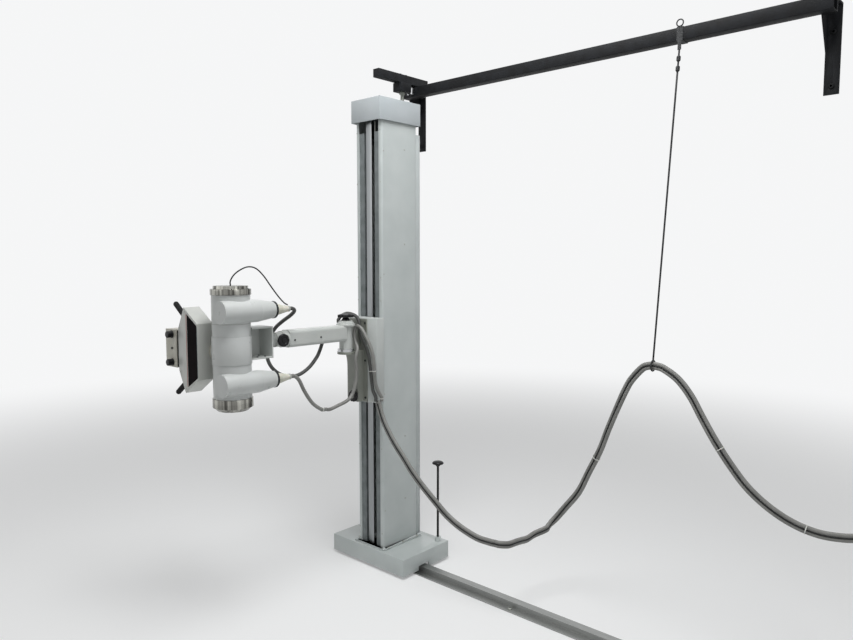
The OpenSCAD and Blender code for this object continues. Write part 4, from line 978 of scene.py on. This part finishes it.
LINE_FRONT, LINE_BACK = -1011, -1009.6
for name, left, right, half, finish in [("window_red_line", -201, -198.5, 156, red_line),
                                        ("window_seal", -116, -113.4, 108, teal_line)]:
    bar(name, (left, LINE_FRONT, COLLIMATOR_Z - half), (right, LINE_BACK, COLLIMATOR_Z + half), finish,
        "collimator", round_mm=0.3)
    print(name, "is", 2 * half, "mm long")

# %% [markdown]
# ## Floor and light
#
# The floor is one pale sheet. Near the stand it is a lit surface that takes the stand's shadow, and a
# few metres out it turns into the world's own pale tone, for the camera and for reflections only, so
# no horizon shows and no extra light falls on the stand.

# %% Floor
PALE, PALE_STRENGTH = (0.955, 0.96, 0.965, 1), 0.96
FLOOR_REACH, FLOOR_DROP, FADE_FROM, FADE_TO = 40, 0.0005, 2.0, 7.0
floor_paint = new_material("pale_floor", "F2F3F3", 0.75)


def seen_only(owner):
    """One for rays that the camera or a reflection sends, and nothing for light that falls on things."""
    rays = add(owner, "ShaderNodeLightPath")
    either = add(owner, "ShaderNodeMath",
                 {0: rays.outputs["Is Camera Ray"], 1: rays.outputs["Is Glossy Ray"]}, operation="MAXIMUM")
    return either.outputs[0]


spot = add(floor_paint, "ShaderNodeTexCoord")
distance = add(floor_paint, "ShaderNodeVectorMath", {0: spot.outputs["Object"]}, operation="LENGTH")
fade = add(floor_paint, "ShaderNodeMapRange", {"Value": distance.outputs["Value"]},
           {"From Min": FADE_FROM, "From Max": FADE_TO, "To Min": 0.3, "To Max": 1.0},
           interpolation_type="SMOOTHSTEP")
share = add(floor_paint, "ShaderNodeMath", {0: fade.outputs["Result"], 1: seen_only(floor_paint)},
            operation="MULTIPLY")
glow = add(floor_paint, "ShaderNodeEmission", values={"Color": PALE, "Strength": PALE_STRENGTH})
mixed = add(floor_paint, "ShaderNodeMixShader",
            {0: share.outputs["Value"], 1: floor_paint.node_tree.nodes["Principled BSDF"].outputs["BSDF"],
             2: glow.outputs["Emission"]})
floor_paint.node_tree.links.new(mixed.outputs["Shader"],
                                floor_paint.node_tree.nodes["Material Output"].inputs["Surface"])
floor_mesh = bpy.data.meshes.new("floor")
corners = [(x * FLOOR_REACH, y * FLOOR_REACH, 0) for x, y in ((-1, -1), (1, -1), (1, 1), (-1, 1))]
floor_mesh.from_pydata(corners, [], [(0, 1, 2, 3)])
floor_mesh.materials.append(floor_paint)
floor = bpy.data.objects.new("floor", floor_mesh)
floor.location.z = -FLOOR_DROP
scene.collection.objects.link(floor)
floor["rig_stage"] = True
print("floor reaches", FLOOR_REACH, "m each way")

# %% [markdown]
# A square panel high above the head is the main light, as in the photograph: tops are bright, fronts
# are quiet and undersides dark. The world fills the shadows, and two weak lamps keep the column's
# front and side readable.

# %% World and lamps
WORLD_LIGHT = 0.26
world = bpy.data.worlds.new("room_light")
scene.world = world
world.use_nodes = True
background = world.node_tree.nodes["Background"]
level = add(world, "ShaderNodeMapRange", {"Value": seen_only(world)},
            {"To Min": WORLD_LIGHT, "To Max": PALE_STRENGTH})
world.node_tree.links.new(level.outputs["Result"], background.inputs["Strength"])
background.inputs["Color"].default_value = PALE


def lamp(name, place, aim, size, watts, colour=(1, 1, 1)):
    """A square lamp that looks at a point, its size in metres."""
    data = bpy.data.lights.new(name, "AREA")
    data.shape, data.size, data.energy, data.color = "SQUARE", size, watts, colour
    piece = bpy.data.objects.new(name, data)
    piece.location = place
    piece.rotation_euler = (Vector(aim) - Vector(place)).to_track_quat("-Z", "Y").to_euler()
    scene.collection.objects.link(piece)


lamp("ceiling_panel", (1.0, -0.75, 3.9), (0.3, -0.4, 1.0), 1.5, 86)
lamp("front_fill", (-1.2, -3.6, 3.2), (0.2, -0.3, 1.2), 2.6, 16, (1, 0.99, 0.97))
lamp("right_fill", (4.2, -1.2, 3.2), (0.4, 0, 1.2), 2.4, 14, (0.98, 0.99, 1))
print("lamps:", len(bpy.data.lights))

# %% Size and finish
low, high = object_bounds()
print("size:", [round(v, 3) for v in (high - low)])
